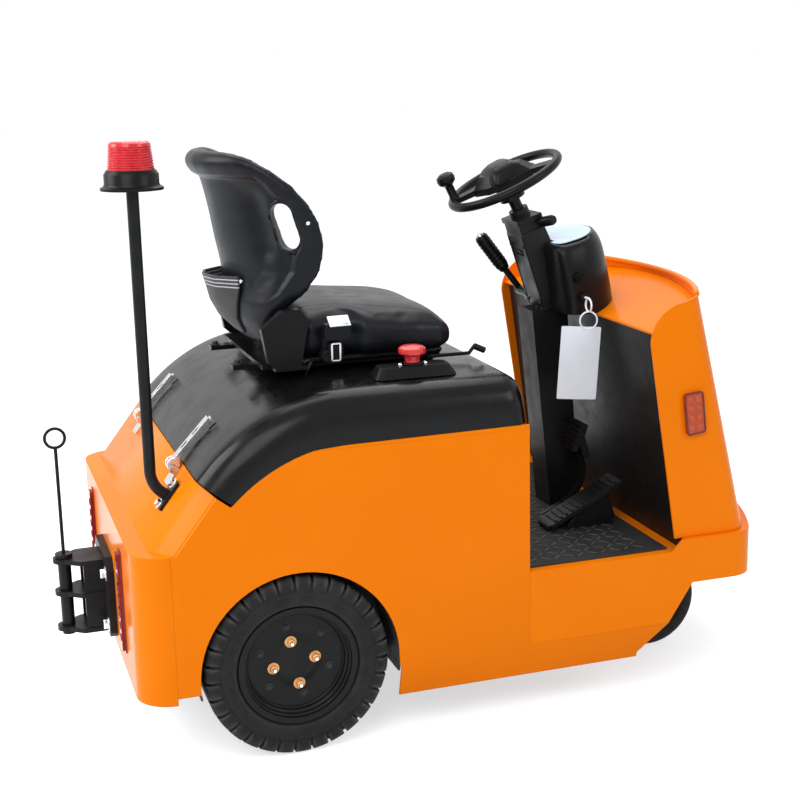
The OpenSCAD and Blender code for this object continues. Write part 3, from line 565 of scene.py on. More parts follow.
def aim(obj, place, direction):
    """Stands a piece modelled along Z at a place, along a direction."""
    obj.rotation_mode = "QUATERNION"
    obj.rotation_quaternion = Vector(direction).to_track_quat("Z", "Y")
    obj.location = place
    return settle(obj)


def repeated(model, places):
    """Copies of one model at each place and direction, joined; the model goes."""
    made = [aim(copy(model), place, direction) for place, direction in places]
    bpy.data.objects.remove(model)
    return join(made)


def hex_head(across, height):
    """A hexagon head with a domed top on a plain washer."""
    head = begin(bpy.ops.mesh.primitive_cylinder_add, vertices=6, radius=across * MM / math.sqrt(3),
                 depth=height * MM, location=(0, 0, (height / 2 + 1.5) * MM))
    settle(head)
    pick_faces(head, lambda c, n: n.z > 0.9)
    bpy.ops.mesh.inset(thickness=across * 0.09 * MM, depth=across * 0.06 * MM)
    leave()
    washer = begin(bpy.ops.mesh.primitive_cylinder_add, vertices=24, radius=across * 0.9 * MM,
                   depth=1.6 * MM, location=(0, 0, 0.8 * MM))
    settle(washer)
    pick_faces(washer, lambda c, n: n.z > 0.9)
    bpy.ops.mesh.inset(thickness=0.7 * MM, depth=0.3 * MM)
    leave()
    return join([head, washer])


def round_head(width, height):
    """A low button head with a hollow drive."""
    r = width / 2
    return turned([(0, 0), (r, 0), (r, height * 0.35), (r * 0.8, height * 0.8), (r * 0.45, height),
                   (r * 0.4, height * 0.45), (0, height * 0.45)], 20)


def frame_plate(width, height, corner, rim, thick):
    """A flat rounded frame in millimetres, its face up."""
    plate = begin(bpy.ops.mesh.primitive_plane_add, size=1)
    plate.scale = (width * MM, height * MM, 1)
    settle(plate)
    edit_all(plate, POINTS)
    bpy.ops.mesh.bevel(offset=corner * MM, segments=5, affect="VERTICES")
    leave()
    pick_faces(plate, lambda c, n: True)
    bpy.ops.mesh.inset(thickness=rim * MM)
    bpy.ops.mesh.delete(type="FACE")
    leave()
    modify(plate, "SOLIDIFY", thickness=thick * MM, offset=1.0)
    return modify(plate, "BEVEL", width=0.3 * thick * MM, segments=2, limit_method="ANGLE")


# The rear panel's slope: its angle, its foot (x, z) in millimetres and the way it faces
SLOPE = math.radians(52)
SLOPE_FOOT = (-283, 457)
SLOPE_UP = (-math.sin(SLOPE), 0, math.cos(SLOPE))


def on_slope(u, y, lift):
    """A point on the sloped rear panel, u along it and lift off it, in millimetres."""
    x = SLOPE_FOOT[0] + u * math.cos(SLOPE) - lift * math.sin(SLOPE)
    z = SLOPE_FOOT[1] + u * math.sin(SLOPE) + lift * math.cos(SLOPE)
    return at(x, y, z)


# Wheels


def lugged_flank(bead_r, bead_w, base_r, half):
    """Half of a lugged tyre's section, from bead to tread, as (radius, side)."""
    return [
        (bead_r, bead_w / 2), (bead_r + 8, bead_w / 2 + 0.4), (bead_r + 10, half - 3),
        (bead_r + 0.4 * (base_r - bead_r), half - 0.2), (base_r - 27, half - 0.8), (base_r - 25.5, half - 3),
        (base_r - 13, half - 4.6), (base_r - 4.5, half - 8.5), (base_r - 1.2, half - 14),
        (base_r, half - 22), (base_r, 9),
    ]


def smooth_flank(bead_r, bead_w, base_r, half):
    """Half of a plain tyre's section, from bead to tread, as (radius, side)."""
    return [
        (bead_r, bead_w / 2), (bead_r + 5, half - 4), (bead_r + 9, half - 1), (base_r - 9, half),
        (base_r - 3, half - 2.4), (base_r - 0.6, half - 7), (base_r, half - 14),
    ]


SPIN_STEPS_A_LUG = 6
SMOOTH_STEPS = 120
# Of a lug's pitch: how much is lug, and how far the two sides are staggered
LUG_SHARE = 0.83
LUG_STAGGER = 0.4
# In millimetres: depth of the lugs down the shoulder, half width of the middle rib, swell to the sides
LUG_REACH = 24
RIB_HALF = 8
LUG_SWELL = 2.8


def raise_lugs(ring, radius, base_r, half, lugs):
    def is_lug(c, n):
        if math.hypot(c.x, c.z) < (base_r - LUG_REACH) * MM:
            return False
        turn = math.atan2(c.x, c.z) / (2 * math.pi) * lugs + (LUG_STAGGER if c.y > 0 else 0.0)
        return abs(c.y) < RIB_HALF * MM or turn % 1 < LUG_SHARE

    pick_faces(ring, is_lug)
    bpy.ops.mesh.extrude_region_move()
    grow = radius / base_r
    bpy.ops.transform.resize(value=(grow, 1 + LUG_SWELL / half, grow), center_override=(0, 0, 0))
    leave()


def tyre(name, body, stands_for, centre, radius, width, bead_r, bead_w, lug_h, lugs):
    """A tyre spun from its section, with lugs raised over its shoulders."""
    base_r = radius - lug_h
    half = width / 2
    flank = (lugged_flank if lugs else smooth_flank)(bead_r, bead_w, base_r, half)
    section = flank + [(r, -y) for r, y in reversed(flank)]
    ring = begin(bpy.ops.mesh.primitive_circle_add, vertices=len(section), radius=0.1)
    for vertex, (r, y) in zip(ring.data.vertices, section):
        vertex.co = (0, y * MM, r * MM)
    spin(ring, lugs * SPIN_STEPS_A_LUG if lugs else SMOOTH_STEPS, (0, 1, 0))
    if lugs:
        raise_lugs(ring, radius, base_r, half, lugs)
    modify(ring, "BEVEL", width=0.9 * MM, segments=1, limit_method="ANGLE", angle_limit=math.radians(45))
    ring.location = centre
    dress(ring, name, body, rubber, smooth=40)
    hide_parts(stands_for)


REAR_R = 191.5
FRONT_R = 115
TYRES = [  # name, x and y of the wheel, radius, width, bead radius, bead width, lug height, lugs
    ("rear", 0, 378, REAR_R, 110, 118.3, 88, 7, 31),
    ("front", 925, 142, FRONT_R, 75, 78.3, 62, 0, 0),
]
# Places on the rear rim as (x, z) from its middle
HUB_NUTS = [(-8, 41), (42, 2), (7, -51), (-46, -11)]
RIM_BOLT_R = 76
RIM_BOLTS = [(math.cos(math.radians(a)) * RIM_BOLT_R, math.sin(math.radians(a)) * RIM_BOLT_R)
             for a in (42, 102, 162, 222, 282, 342)]
STUD = [(0, 0), (4.2, 0), (4.2, 6), (3.4, 7), (0, 7)]
RIM_STEPS = [
    (98, 0), (119, 0), (119, 34), (116, 36), (112.5, 35), (111, 28), (107.5, 26.5), (106.5, 19), (102.5, 17),
    (101.5, 9), (98.5, 7),
]
# Distance from the middle at which each set on the rim starts
NUTS_Y = 394.3
STUDS_Y = 405.6
BOLTS_Y = 392.5
STEPS_Y = 393


def on_rim(places, y, sign):
    return [(at(x, sign * y, REAR_R + z), (0, sign, 0)) for x, z in places]


def wheels():
    for side, sign in (("left", 1), ("right", -1)):
        for end, x, y, radius, *section in TYRES:
            tyre(end + "_tread_" + side, end + "_wheel_" + side, end + "_tyre_" + side,
                 at(x, sign * y, radius), radius, *section)
        body = "rear_wheel_" + side
        nuts = repeated(hex_head(14, 10), on_rim(HUB_NUTS, NUTS_Y, sign))
        dress(nuts, "hub_nuts_" + side, body, brass, smooth=30)
        studs = repeated(turned(STUD, 20), on_rim(HUB_NUTS, STUDS_Y, sign))
        dress(studs, "hub_studs_" + side, body, zinc, smooth=30)
        small = repeated(hex_head(10, 5), on_rim(RIM_BOLTS, BOLTS_Y, sign))
        dress(small, "rim_bolts_" + side, body, dark_steel, smooth=30)
        steps = aim(turned(RIM_STEPS, 96), at(0, sign * STEPS_Y, REAR_R), (0, sign, 0))
        modify(steps, "BEVEL", width=0.0012, segments=2, limit_method="ANGLE", angle_limit=math.radians(20))
        dress(steps, "rim_steps_" + side, body, black_steel, smooth=40)


wheels()


# Floor plate


BAR_PITCH = 0.0275
BAR_SIZE = (0.023, 0.0052, 0.0026)
BAR_MARGIN = 0.02
BARS = [  # turn in degrees, places in the cell of two by two pitches
    (45, ((0, 0), (1, 1))),
    (-45, ((1, 0), (0, 1))),
]


def tread_bar(turn, place):
    bar = begin(bpy.ops.mesh.primitive_cube_add, size=1)
    bar.scale = BAR_SIZE
    settle(bar)
    pick_faces(bar, lambda c, n: n.z > 0.9)
    bpy.ops.mesh.inset(thickness=0.0014)
    bpy.ops.transform.translate(value=(0, 0, 0.0003))
    leave()
    bar.rotation_euler = (0, 0, math.radians(turn))
    bar.location = place
    return settle(bar)


def tread_bars():
    """Raised bars in a crossed pattern over the floor plate."""
    low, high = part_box("tread_plate")
    count_x = int((high.x - low.x - BAR_MARGIN) / BAR_PITCH)
    count_y = int((high.y - low.y - BAR_MARGIN) / BAR_PITCH)
    start_x = (low.x + high.x - (count_x - 1) * BAR_PITCH) / 2
    start_y = (low.y + high.y - (count_y - 1) * BAR_PITCH) / 2
    start = Vector((start_x, start_y, high.z))
    rows = []
    for turn, cell in BARS:
        grid = join([tread_bar(turn, start + BAR_PITCH * Vector((u, v, 0))) for u, v in cell])
        for count, step in ((count_x // 2, (2 * BAR_PITCH, 0, 0)), (count_y // 2, (0, 2 * BAR_PITCH, 0))):
            modify(grid, "ARRAY", count=count, use_relative_offset=False, use_constant_offset=True,
                   constant_offset_displace=step)
        rows.append(grid)
    # The bars take the paler steel, whose lighter tone is a painted highlight on their tops
    dress(join(rows), "tread_bars", "body", bar_highlight_steel, smooth=30)


tread_bars()


# Seat


FILL_FRAMES = 20


def swell(obj, pressure, cap):
    """Fills a padded piece by a short cloth run and keeps each point near its start."""
    rest = [v.co.copy() for v in obj.data.vertices]
    only(obj)
    cloth = obj.modifiers.new("filling", "CLOTH")
    cloth.settings.use_pressure = True
    cloth.settings.uniform_pressure_force = pressure
    cloth.settings.effector_weights.gravity = 0.0
    cloth.point_cache.frame_start = 1
    cloth.point_cache.frame_end = FILL_FRAMES
    for step in range(1, FILL_FRAMES + 1):
        bpy.context.scene.frame_set(step)
    bpy.ops.object.modifier_apply(modifier=cloth.name)
    bpy.context.scene.frame_set(1)
    for vertex, start in zip(obj.data.vertices, rest):
        move = vertex.co - start
        if move.length > cap:
            vertex.co = start + move * (cap / move.length)


def points_of(obj):
    """A piece's points and the directions they face, one row each."""
    found = []
    for key in ("co", "normal"):
        values = np.empty(3 * len(obj.data.vertices))
        obj.data.vertices.foreach_get(key, values)
        found.append(values.reshape(-1, 3))
    return found


def place_points(obj, place):
    obj.data.vertices.foreach_set("co", place.ravel())
    obj.data.update()


def press_line(obj, path, depth, width):
    """Presses a soft line into a piece along a path of points."""
    place, normal = points_of(obj)
    near = np.full(len(place), 1.0)
    for a, b in zip(path, path[1:]):
        along = np.array(b - a)
        share = np.clip((place - np.array(a)) @ along / (along @ along), 0, 1)
        near = np.minimum(near, np.linalg.norm(place - np.array(a) - share[:, None] * along, axis=1))
    place_points(obj, place - normal * (depth * np.exp(-(near / width) ** 2))[:, None])


def filled_pad(name, voxel, smooth_steps, pressure, cap):
    """A soft copy of a CAD pad, smoothed, filled and made fine."""
    pad = copy_node(name)
    modify(pad, "REMESH", mode="VOXEL", voxel_size=voxel)
    modify(pad, "SMOOTH", factor=0.5, iterations=smooth_steps)
    swell(pad, pressure, cap)
    return modify(pad, "SUBSURF", levels=1, render_levels=1)


def finish_pad(pad, name, stands_for):
    dress(pad, name, "hood", vinyl, smooth=60)
    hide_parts(stands_for)


RIM = [  # height, half width, rear x, wrap and thickness of the backrest
    (885, 205, -42, 95, 62), (915, 226, -52, 140, 64), (960, 238, -64, 182, 64),
    (1015, 242, -76, 205, 62), (1060, 241, -83, 203, 60), (1100, 236, -88, 187, 58),
    (1140, 224, -92, 158, 54), (1172, 203, -94, 118, 50), (1194, 172, -91, 78, 42),
    (1204, 132, -83, 44, 28),
]
WRAP_POWER = 2.4
# The backrest's upper edge, and the heights over which its top comes to count as its rear
RIM_TOP = 1206
CROWN_START = 1150
CROWN_RUN = 40
# Height at which the roll starts, and over which it grows
ROLL_START = 890
ROLL_RUN = 70
# The roll's rise, its place in from the edge and its width
ROLL_RISE = 6
ROLL_PLACE = 26
ROLL_WIDTH = 18
# The panel's depth below the edge, and where its step starts and how far it runs
PANEL_SINK = 10
PANEL_START = 50
PANEL_RUN = 22


def rim_point(row, side, share):
    """A point across the backrest's edge, share of its thickness from the rear."""
    z, half, rear, wrap, thick = row
    slope = WRAP_POWER * wrap
    size = math.hypot(slope, half)
    off = share * thick
    return at(rear + wrap + off * half / size, side * (half - off * slope / size), z)


def roll_rim(back):
    """Raises a soft roll round the backrest's rear edge and sinks the panel inside it."""
    place, normal = points_of(back)
    x = (place[:, 0] - AXLE_X) / MM
    z = place[:, 2] / MM
    level, *columns = np.array(RIM, dtype=float).T
    half, rear, wrap, thick = (np.interp(z, level, column) for column in columns)
    share = np.clip(np.abs(place[:, 1]) / MM / half, 0, 1)
    depth = x - rear - wrap * share ** WRAP_POWER
    lean = WRAP_POWER * wrap / half * share ** (WRAP_POWER - 1)
    faces = (np.sign(place[:, 1]) * lean * normal[:, 1] - normal[:, 0]) / np.hypot(1, lean)
    faces = np.maximum(faces, np.clip((z - CROWN_START) / CROWN_RUN, 0, 1) * normal[:, 2])
    behind = np.clip(1.6 - 2.4 * np.maximum(depth, 0) / thick, 0, 1)
    facing = np.clip((faces - 0.25) / 0.5, 0, 1)
    slope = np.hypot(1, WRAP_POWER * wrap / half)
    inward = np.minimum((1 - share) * half * slope, 1.1 * np.maximum(RIM_TOP - z, 0))
    low = np.clip((z - ROLL_START) / ROLL_RUN, 0, 1)
    step = np.clip((inward - PANEL_START) / PANEL_RUN, 0, 1)
    sink = PANEL_SINK * step * step * (3 - 2 * step)
    roll = ROLL_RISE * np.exp(-((inward - ROLL_PLACE) / ROLL_WIDTH) ** 2)
    place_points(back, place + normal * (behind * facing * low * (roll - sink) * MM)[:, None])


def crown(obj, rise):
    """Lifts the upper face of the cushion, most at its middle."""
    low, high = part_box("seat_cushion")
    place, normal = points_of(obj)
    u = (2 * place[:, 0] - low.x - high.x) / (high.x - low.x)
    v = (2 * place[:, 1] - low.y - high.y) / (high.y - low.y)
    full = np.clip(1 - np.abs(u) ** 4, 0, 1) * np.clip(1 - np.abs(v) ** 4, 0, 1)
    place[:, 2] += rise * np.clip(normal[:, 2], 0, 1) * full
    place_points(obj, place)


# Paths on the driver's left, mirrored to the right
CUSHION_LINE = [(70, 120, 866), (250, 165, 864), (350, 178, 850)]
SLOT_HOLLOW = [(16, 168, 1010), (10, 166, 1055), (2, 162, 1095)]
SEAM_SHARE = 0.32
SEAM_TOP = (-76, 0, 1205)
BACK_SCREWS = [  # place on the left, then the way it faces
    ((101, 236.6, 1062), (-0.46, 0.887, 0)),
    ((-17, 116, 935), (-1, 0.5, 0)),
]


def press_both(obj, path, depth, width):
    for side in (-1, 1):
        press_line(obj, [at(x, side * y, z) for x, y, z in path], depth, width)


def seat():
    cushion = filled_pad("seat_cushion", 0.006, 6, 3.0, 0.007)
    crown(cushion, 0.009)
    press_both(cushion, CUSHION_LINE, 0.006, 0.007)
    finish_pad(cushion, "seat_pad", "seat_cushion")
    back = filled_pad("seat_back", 0.006, 10, 2.0, 0.004)
    roll_rim(back)
    right = [rim_point(row, -1, SEAM_SHARE) for row in RIM]
    left = [rim_point(row, 1, SEAM_SHARE) for row in reversed(RIM)]
    press_line(back, right + [at(*SEAM_TOP)] + left, 0.0035, 0.003)
    press_both(back, SLOT_HOLLOW, 0.013, 0.03)
    finish_pad(back, "backrest", "seat_back")
    front = filled_pad("back_pad", 0.005, 6, 3.0, 0.006)
    finish_pad(front, "back_cushion", "back_pad")
    screws = []
    for (x, y, z), (u, v, w) in BACK_SCREWS:
        screws += [(at(x, side * y, z), (u, side * v, w)) for side in (-1, 1)]
    dress(repeated(round_head(9, 4), screws), "backrest_screws", "hood", zinc, smooth=30)


# The seat pan: its ends, half width, foot, lap over the cushion, and how its foot draws in
PAN_FRONT = 400
PAN_REAR = 96
PAN_HALF = 213
PAN_FOOT = 757
PAN_LAP = 10
PAN_TUCK = 12
PAN_TAPER = 0.95


def seat_pan():
    """A moulded tray between the cushion and the hood."""
    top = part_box("seat_cushion")[0].z / MM + PAN_LAP
    pan = begin(bpy.ops.mesh.primitive_cube_add, size=1)
    for vertex in pan.data.vertices:
        upper = vertex.co.z > 0
        x = PAN_FRONT if vertex.co.x > 0 else PAN_REAR
        y = PAN_HALF if vertex.co.y > 0 else -PAN_HALF
        vertex.co = at(x, y, top) if upper else at(x - PAN_TUCK, y * PAN_TAPER, PAN_FOOT)
    modify(pan, "BEVEL", width=0.009, segments=3, limit_method="ANGLE")
    pick_faces(pan, lambda c, n: abs(n.y) > 0.9)
    bpy.ops.mesh.inset(thickness=0.005)
    bpy.ops.mesh.inset(thickness=0.003, depth=-0.003)
    leave()
    dress(pan, "seat_pan", "hood", trim_black, smooth=30)


LABEL_SIZE = (0.046, 0.028, 0.003)
LABEL_PLACE = (157, -243, 858)
TONGUE_PLACE = (150, -239.5, 792)
KNOB = [(0, 0), (15, 0), (15, 6), (13, 9), (7, 9), (6, 7), (0, 7)]
KNOB_PLACE = (134, -229, 784)


def buckle():
    """The blank label and tongue of the belt, and the knob beside them."""
    label = begin(bpy.ops.mesh.primitive_cube_add, size=1)
    label.scale = LABEL_SIZE
    settle(label)
    modify(label, "BEVEL", width=0.0012, segments=2)
    label.rotation_euler = (math.radians(42), 0, math.radians(4))
    label.location = at(*LABEL_PLACE)
    dress(label, "buckle_label", "hood", card, smooth=30)
    right = (0, -1, 0)
    tongue = aim(frame_plate(22, 40, 4, 4, 1.8), at(*TONGUE_PLACE), right)
    dress(tongue, "buckle_tongue", "hood", zinc, smooth=30)
    knob = aim(turned(KNOB, 28), at(*KNOB_PLACE), right)
    dress(knob, "recline_knob", "hood", trim_black, smooth=30)


seat()
seat_pan()
buckle()


# Smooth mouldings


# The painted rail's upper edge as (x, z), its lower edge, its inner face and its thickness
SIDE_TOP = [(42, 639.6), (70, 641.8), (110, 644.6), (501.5, 648.6)]
SIDE_FOOT = [(501.5, 639.2), (42, 638.6)]
RAIL_Y = 434.1
RAIL_THICK = 4.85
# The hood's edge: what counts as it, and its gap over the rail
EDGE_FROM_X = 38
EDGE_BELOW_Z = 660
EDGE_GAP = 1.2


def lower_rim(hood):
    """Brings the hood's lower edge down to the painted rail."""
    place = points_of(hood)[0]
    x = (place[:, 0] - AXLE_X) / MM
    rim = (x > EDGE_FROM_X) & (place[:, 2] < EDGE_BELOW_Z * MM)
    place[rim, 2] = (np.interp(x[rim], *zip(*SIDE_TOP)) + EDGE_GAP) * MM
    place_points(hood, place)


def side_rails():
    """Painted rails that carry each side panel's edge up to the hood."""
    outline = SIDE_TOP + SIDE_FOOT
    for side, sign in (("right", -1), ("left", 1)):
        rail = begin(bpy.ops.mesh.primitive_circle_add, vertices=len(outline), radius=0.1, fill_type="NGON")
        for vertex, (x, z) in zip(rail.data.vertices, outline):
            vertex.co = at(x, sign * RAIL_Y, z)
        edit_all(rail)
        bpy.ops.mesh.extrude_region_move(TRANSFORM_OT_translate={"value": (0, sign * RAIL_THICK * MM, 0)})
        leave()
        tidy_mesh(rail)
        dress(rail, "side_rail_" + side, "body", paint, smooth=30)


def moulding(name, piece, body, finish, sharp, levels):
    """A CAD moulding made smooth by subdivision, its sharp edges kept."""
    made = copy_node(name)
    if name == "hood":
        lower_rim(made)
    edit_all(made, EDGES)
    bpy.ops.mesh.tris_convert_to_quads(face_threshold=math.radians(50), shape_threshold=math.radians(60))
    bpy.ops.mesh.select_all(action="DESELECT")
    bpy.ops.mesh.edges_select_sharp(sharpness=math.radians(sharp))
    bpy.ops.transform.edge_crease(value=1.0)
    leave()
    modify(made, "SUBSURF", levels=levels, render_levels=levels)
    dress(made, piece, body, finish, 50)
    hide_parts(name)


side_rails()
moulding("hood", "hood_shell", "hood", hood_black, 28, 2)
moulding("dash_pod", "dash_housing", "body", trim_black, 50, 2)


# Lamps


# The side lamps' middle as (x, z), their lean in degrees, and the faces of rim and domes
SIDE_LAMP = (890, 633)
SIDE_LAMP_LEAN = 6
SIDE_RIM_Y = 431.5
SIDE_DOME_Y = 432.8
SIDE_DOMES = [(u, v) for u in (-9.5, 9.5) for v in (-31, -10.5, 10.5, 31)]
# The tail lamps' face, middle height and pitch of domes
TAIL_X = -327.8
TAIL_Y = 240
TAIL_Z = 310
TAIL_PITCH = 26
# The cone that the cowl follows, its lean and its axis' foot (x, z), and the head lamps' places on it
COWL_LEAN = math.radians(13.2)
COWL_AXIS = (267.05, 353)
HEAD_LAMP_UP = 212
HEAD_LAMP_REACH = 850.3
HEAD_LAMP_TURNS = (-10.2, 10.2)
BEZEL = [(45, 0), (54.5, 0), (54.5, 4.5), (52, 7), (48, 7.5), (45, 4)]


def in_plane(middle, turn, u, v):
    """Place of (u, v) on a plate turned about its middle (x, z)."""
    a = math.radians(turn)
    x, z = middle
    return x + u * math.cos(a) - v * math.sin(a), z + u * math.sin(a) + v * math.cos(a)


def dome(radius, height):
    return turned([(0, 0), (radius, 0), (radius * 0.9, height * 0.5), (radius * 0.55, height * 0.9),
                   (0, height)], 20)


def side_lamps():
    for side, sign in (("right", -1), ("left", 1)):
        out = (0, sign, 0)
        rim = frame_plate(47, 94, 8, 4, 3)
        rim.rotation_euler = (0, 0, math.radians(SIDE_LAMP_LEAN * -sign))
        settle(rim)
        aim(rim, at(SIDE_LAMP[0], sign * SIDE_RIM_Y, SIDE_LAMP[1]), out)
        dress(rim, "side_lamp_rim_" + side, "body", deep_amber, smooth=30)
        places = [in_plane(SIDE_LAMP, SIDE_LAMP_LEAN, u, v) for u, v in SIDE_DOMES]
        domes = repeated(dome(7.2, 2.6), [(at(x, sign * SIDE_DOME_Y, z), out) for x, z in places])
        dress(domes, "side_lamp_leds_" + side, "body", bright_amber, smooth=60)


def tail_lamps():
    heights = [TAIL_Z + TAIL_PITCH * k for k in range(-3, 4)]
    spots = [(at(TAIL_X, y, z), (-1, 0, 0)) for y in (-TAIL_Y, TAIL_Y) for z in heights]
    dress(repeated(dome(9, 2.4), spots), "tail_lamp_leds", "body", tail_red, smooth=60)


def head_lamps():
    x = COWL_AXIS[0] - HEAD_LAMP_UP * math.sin(COWL_LEAN)
    z = COWL_AXIS[1] + HEAD_LAMP_UP * math.cos(COWL_LEAN)
    spots = []
    for turn in HEAD_LAMP_TURNS:
        a = math.radians(turn)
        ahead = Vector((math.cos(a) * math.cos(COWL_LEAN), math.sin(a), math.cos(a) * math.sin(COWL_LEAN)))
        spots.append((at(x, 0, z) + ahead * HEAD_LAMP_REACH * MM, ahead))
    dress(repeated(turned(BEZEL, 56), spots), "head_lamp_bezels", "body", zinc, smooth=30)


# The beacon's lens: ribs, plain foot and cap, how far it narrows and how deep the grooves are
LENS_RIBS = 8
LENS_FOOT = 4
LENS_CAP = 11
LENS_TAPER = 0.08
LENS_GROOVE = 2.2
LENS_CREST = 0.4


def beacon():
    """A ribbed lens over the beacon's base."""
    low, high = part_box("beacon_lens")
    radius = (high.x - low.x) / 2 / MM
    tall = (high.z - low.z) / MM
    pitch = (tall - LENS_FOOT - LENS_CAP) / LENS_RIBS
    outline = [(0, 0), (radius, 0), (radius, LENS_FOOT)]
    for k in range(LENS_RIBS):
        r = radius * (1 - LENS_TAPER * k / LENS_RIBS)
        z = LENS_FOOT + pitch * k
        groove = r - LENS_GROOVE
        crest = r - LENS_CREST
        outline += [(groove, z + 0.12 * pitch), (crest, z + 0.3 * pitch)]
        outline += [(crest, z + 0.75 * pitch), (groove, z + 0.93 * pitch)]
    outline += [(radius * 0.91, tall - 10), (radius * 0.88, tall - 4), (radius * 0.78, tall - 0.8)]
    lens = turned(outline + [(0, tall)], 64)
    lens.location = ((low.x + high.x) / 2, (low.y + high.y) / 2, low.z)
    dress(lens, "beacon_dome", "body", red_lens, smooth=30)
    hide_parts("beacon_lens")


side_lamps()
tail_lamps()
head_lamps()
beacon()


# Rolled lip and small controls


# The cowl's upper edge, in metres
COWL_EDGE_Z = 0.8865


def cowl_lip():
    """A rounded bead along the cowl's upper edge."""
    lip = copy_node("front_cowl")
    pick_faces(lip, lambda c, n: not (n.z > 0.9 and c.z > COWL_EDGE_Z))
    bpy.ops.mesh.delete(type="FACE")
    leave()
    modify(lip, "SOLIDIFY", thickness=0.004, offset=0.0)
    edit_all(lip)
    bpy.ops.mesh.normals_make_consistent(inside=False)
    bpy.ops.transform.shrink_fatten(value=0.0035, use_even_offset=True)
    leave()
    modify(lip, "BEVEL", width=0.0042, segments=3, limit_method="ANGLE", angle_limit=math.radians(50))
    dress(lip, "cowl_lip", "body", paint, smooth=40)


LEVER_LEAN = math.radians(37.4)
LEVER_END = (603.4, 100, 974.2)
LEVER_BUTTON = [(0, 0), (9, 0), (9, 3), (7.5, 5.5), (0, 6)]
STOP_X = 287
STOP_Z = 772.3
STOP_COLLAR = [(16, 0), (21, 0), (21, 3), (19, 5), (16, 5)]


def small_controls():
    """The brake lever's button, and the screws and collar of the stop button."""
    along = (-math.sin(LEVER_LEAN), 0, math.cos(LEVER_LEAN))
    button = aim(turned(LEVER_BUTTON, 28), at(*LEVER_END), along)
    dress(button, "lever_button", "body", zinc, smooth=30)
    feet = [(at(STOP_X + dx, -331, STOP_Z), (0, 0, 1)) for dx in (-27, 27)]
    dress(repeated(round_head(10, 4.5), feet), "stop_screws", "hood", zinc, smooth=30)
    collar = turned(STOP_COLLAR, 40)
    collar.location = at(STOP_X, -328, STOP_Z)
    dress(collar, "stop_collar", "hood", trim_black, smooth=30)


# The steering axis: the wheel's middle, the lean, and the ways along it and ahead of it
COLUMN_TOP = Vector((626.6, 0, 1111.6))
COLUMN_LEAN = math.radians(25.6)
ALONG_COLUMN = Vector((-math.sin(COLUMN_LEAN), 0, math.cos(COLUMN_LEAN)))
AHEAD_OF_COLUMN = Vector((math.cos(COLUMN_LEAN), 0, math.sin(COLUMN_LEAN)))
# The column's cover: its ends along the axis, half width, front, and rear face at each end
COVER_TOP = -122
COVER_FOOT = -312
COVER_HALF = 49
COVER_FRONT = 27
COVER_TOP_REAR = -35
COVER_FOOT_REAR = -60
COVER_FALL = (COVER_TOP_REAR - COVER_FOOT_REAR) / (COVER_TOP - COVER_FOOT)


def on_column(along, ahead, y):
    """A point by its place along and ahead of the steering axis, in millimetres."""
    return at(*(COLUMN_TOP + along * ALONG_COLUMN + ahead * AHEAD_OF_COLUMN + Vector((0, y, 0))))


def cover_rear(along):
    """How far ahead of the axis the cover's rear face is, at a place along it."""
    return COVER_TOP_REAR + COVER_FALL * (along - COVER_TOP)


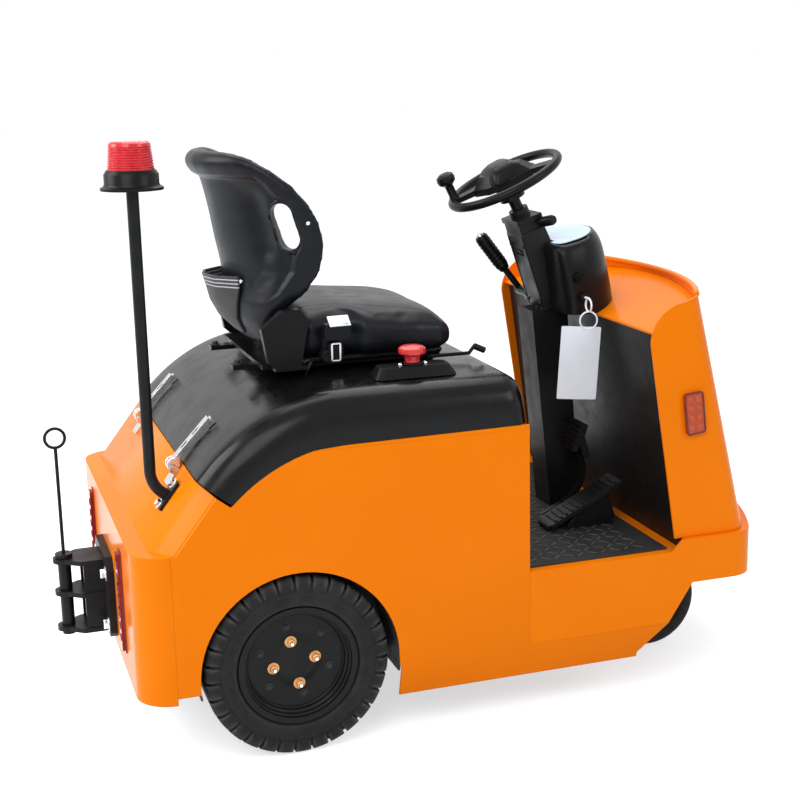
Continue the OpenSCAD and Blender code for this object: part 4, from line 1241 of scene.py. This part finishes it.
def column_cover():
    """A folded cover round the steering column, with its screws and two slots in the rear face."""
    cover = begin(bpy.ops.mesh.primitive_cube_add, size=1)
    for vertex in cover.data.vertices:
        along = COVER_TOP if vertex.co.z > 0 else COVER_FOOT
        ahead = COVER_FRONT if vertex.co.x > 0 else cover_rear(along)
        vertex.co = on_column(along, ahead, COVER_HALF if vertex.co.y > 0 else -COVER_HALF)
    edge = on_column(COVER_TOP, COVER_TOP_REAR, 0) - on_column(COVER_FOOT, COVER_FOOT_REAR, 0)
    rear = edge.cross(Vector((0, 1, 0))).normalized()
    rear = rear if rear.x < 0 else -rear
    modify(cover, "BEVEL", width=0.005, segments=3, limit_method="ANGLE")
    pick_faces(cover, lambda c, n: n.dot(rear) > 0.98)
    bpy.ops.mesh.inset(thickness=0.004)
    bpy.ops.mesh.inset(thickness=0.0012, depth=-0.0012)
    leave()
    dress(cover, "column_cover", "body", black_steel, smooth=30)
    spots = [(on_column(h, cover_rear(h) - 0.2, y), rear) for h in (-150, -287) for y in (-36, 36)]
    dress(repeated(round_head(8, 3), spots), "column_screws", "body", dark_steel, smooth=30)
    slots = [(on_column(h, cover_rear(h), 0), rear) for h in (-168, -300)]
    frames = repeated(frame_plate(34, 15, 4, 3.5, 2.2), slots)
    dress(frames, "column_slots", "body", trim_black, smooth=30)


HORN_PAD_SIZE = (0.094, 0.118, 0.034)
HORN_PAD_UP = 22


def horn_pad():
    """A domed pad on the steering wheel's hub."""
    pad = begin(bpy.ops.mesh.primitive_cube_add, size=1)
    pad.scale = HORN_PAD_SIZE
    settle(pad)
    pick_faces(pad, lambda c, n: n.z > 0.9)
    bpy.ops.transform.resize(value=(0.68, 0.74, 1), center_override=(0, 0, 0))
    bpy.ops.mesh.inset(thickness=0.012, depth=0.004)
    leave()
    modify(pad, "BEVEL", width=0.011, segments=4, limit_method="ANGLE", angle_limit=math.radians(25))
    pad.rotation_euler = (0, -COLUMN_LEAN, 0)
    pad.location = on_column(HORN_PAD_UP, 0, 0)
    dress(pad, "horn_pad", "steering", trim_black, smooth=40)


cowl_lip()
small_controls()
column_cover()
horn_pad()


# Fasteners


LATCH_LOOP = [(6, 0), (13, 0), (14, 1.5), (14, 6.5), (13, 8), (6, 8)]


def fasteners():
    rear = (-1, 0, 0)
    up = (0, 0, 1)
    plate_bolts = [(at(-335, y, z), rear) for y in (-82, 82) for z in (204, 318)]
    dress(repeated(hex_head(19, 9), plate_bolts), "coupling_bolts", "body", zinc, smooth=30)
    loops = [(on_slope(154, y + dy, 15), (0, 1, 0)) for y in (-230, 230) for dy in (-13, 5)]
    dress(repeated(turned(LATCH_LOOP, 32), loops), "latch_loops", "body", zinc, smooth=30)
    flange = [(on_slope(u, -290, 7), SLOPE_UP) for u in (79, 128)]
    dress(repeated(hex_head(13, 7), flange), "post_bolts", "body", zinc, smooth=30)
    rails = [(at(x, y, 760), up) for x in (-36, 396) for y in (-121, 121)]
    dress(repeated(hex_head(13, 6), rails), "rail_bolts", "hood", dark_steel, smooth=30)


fasteners()
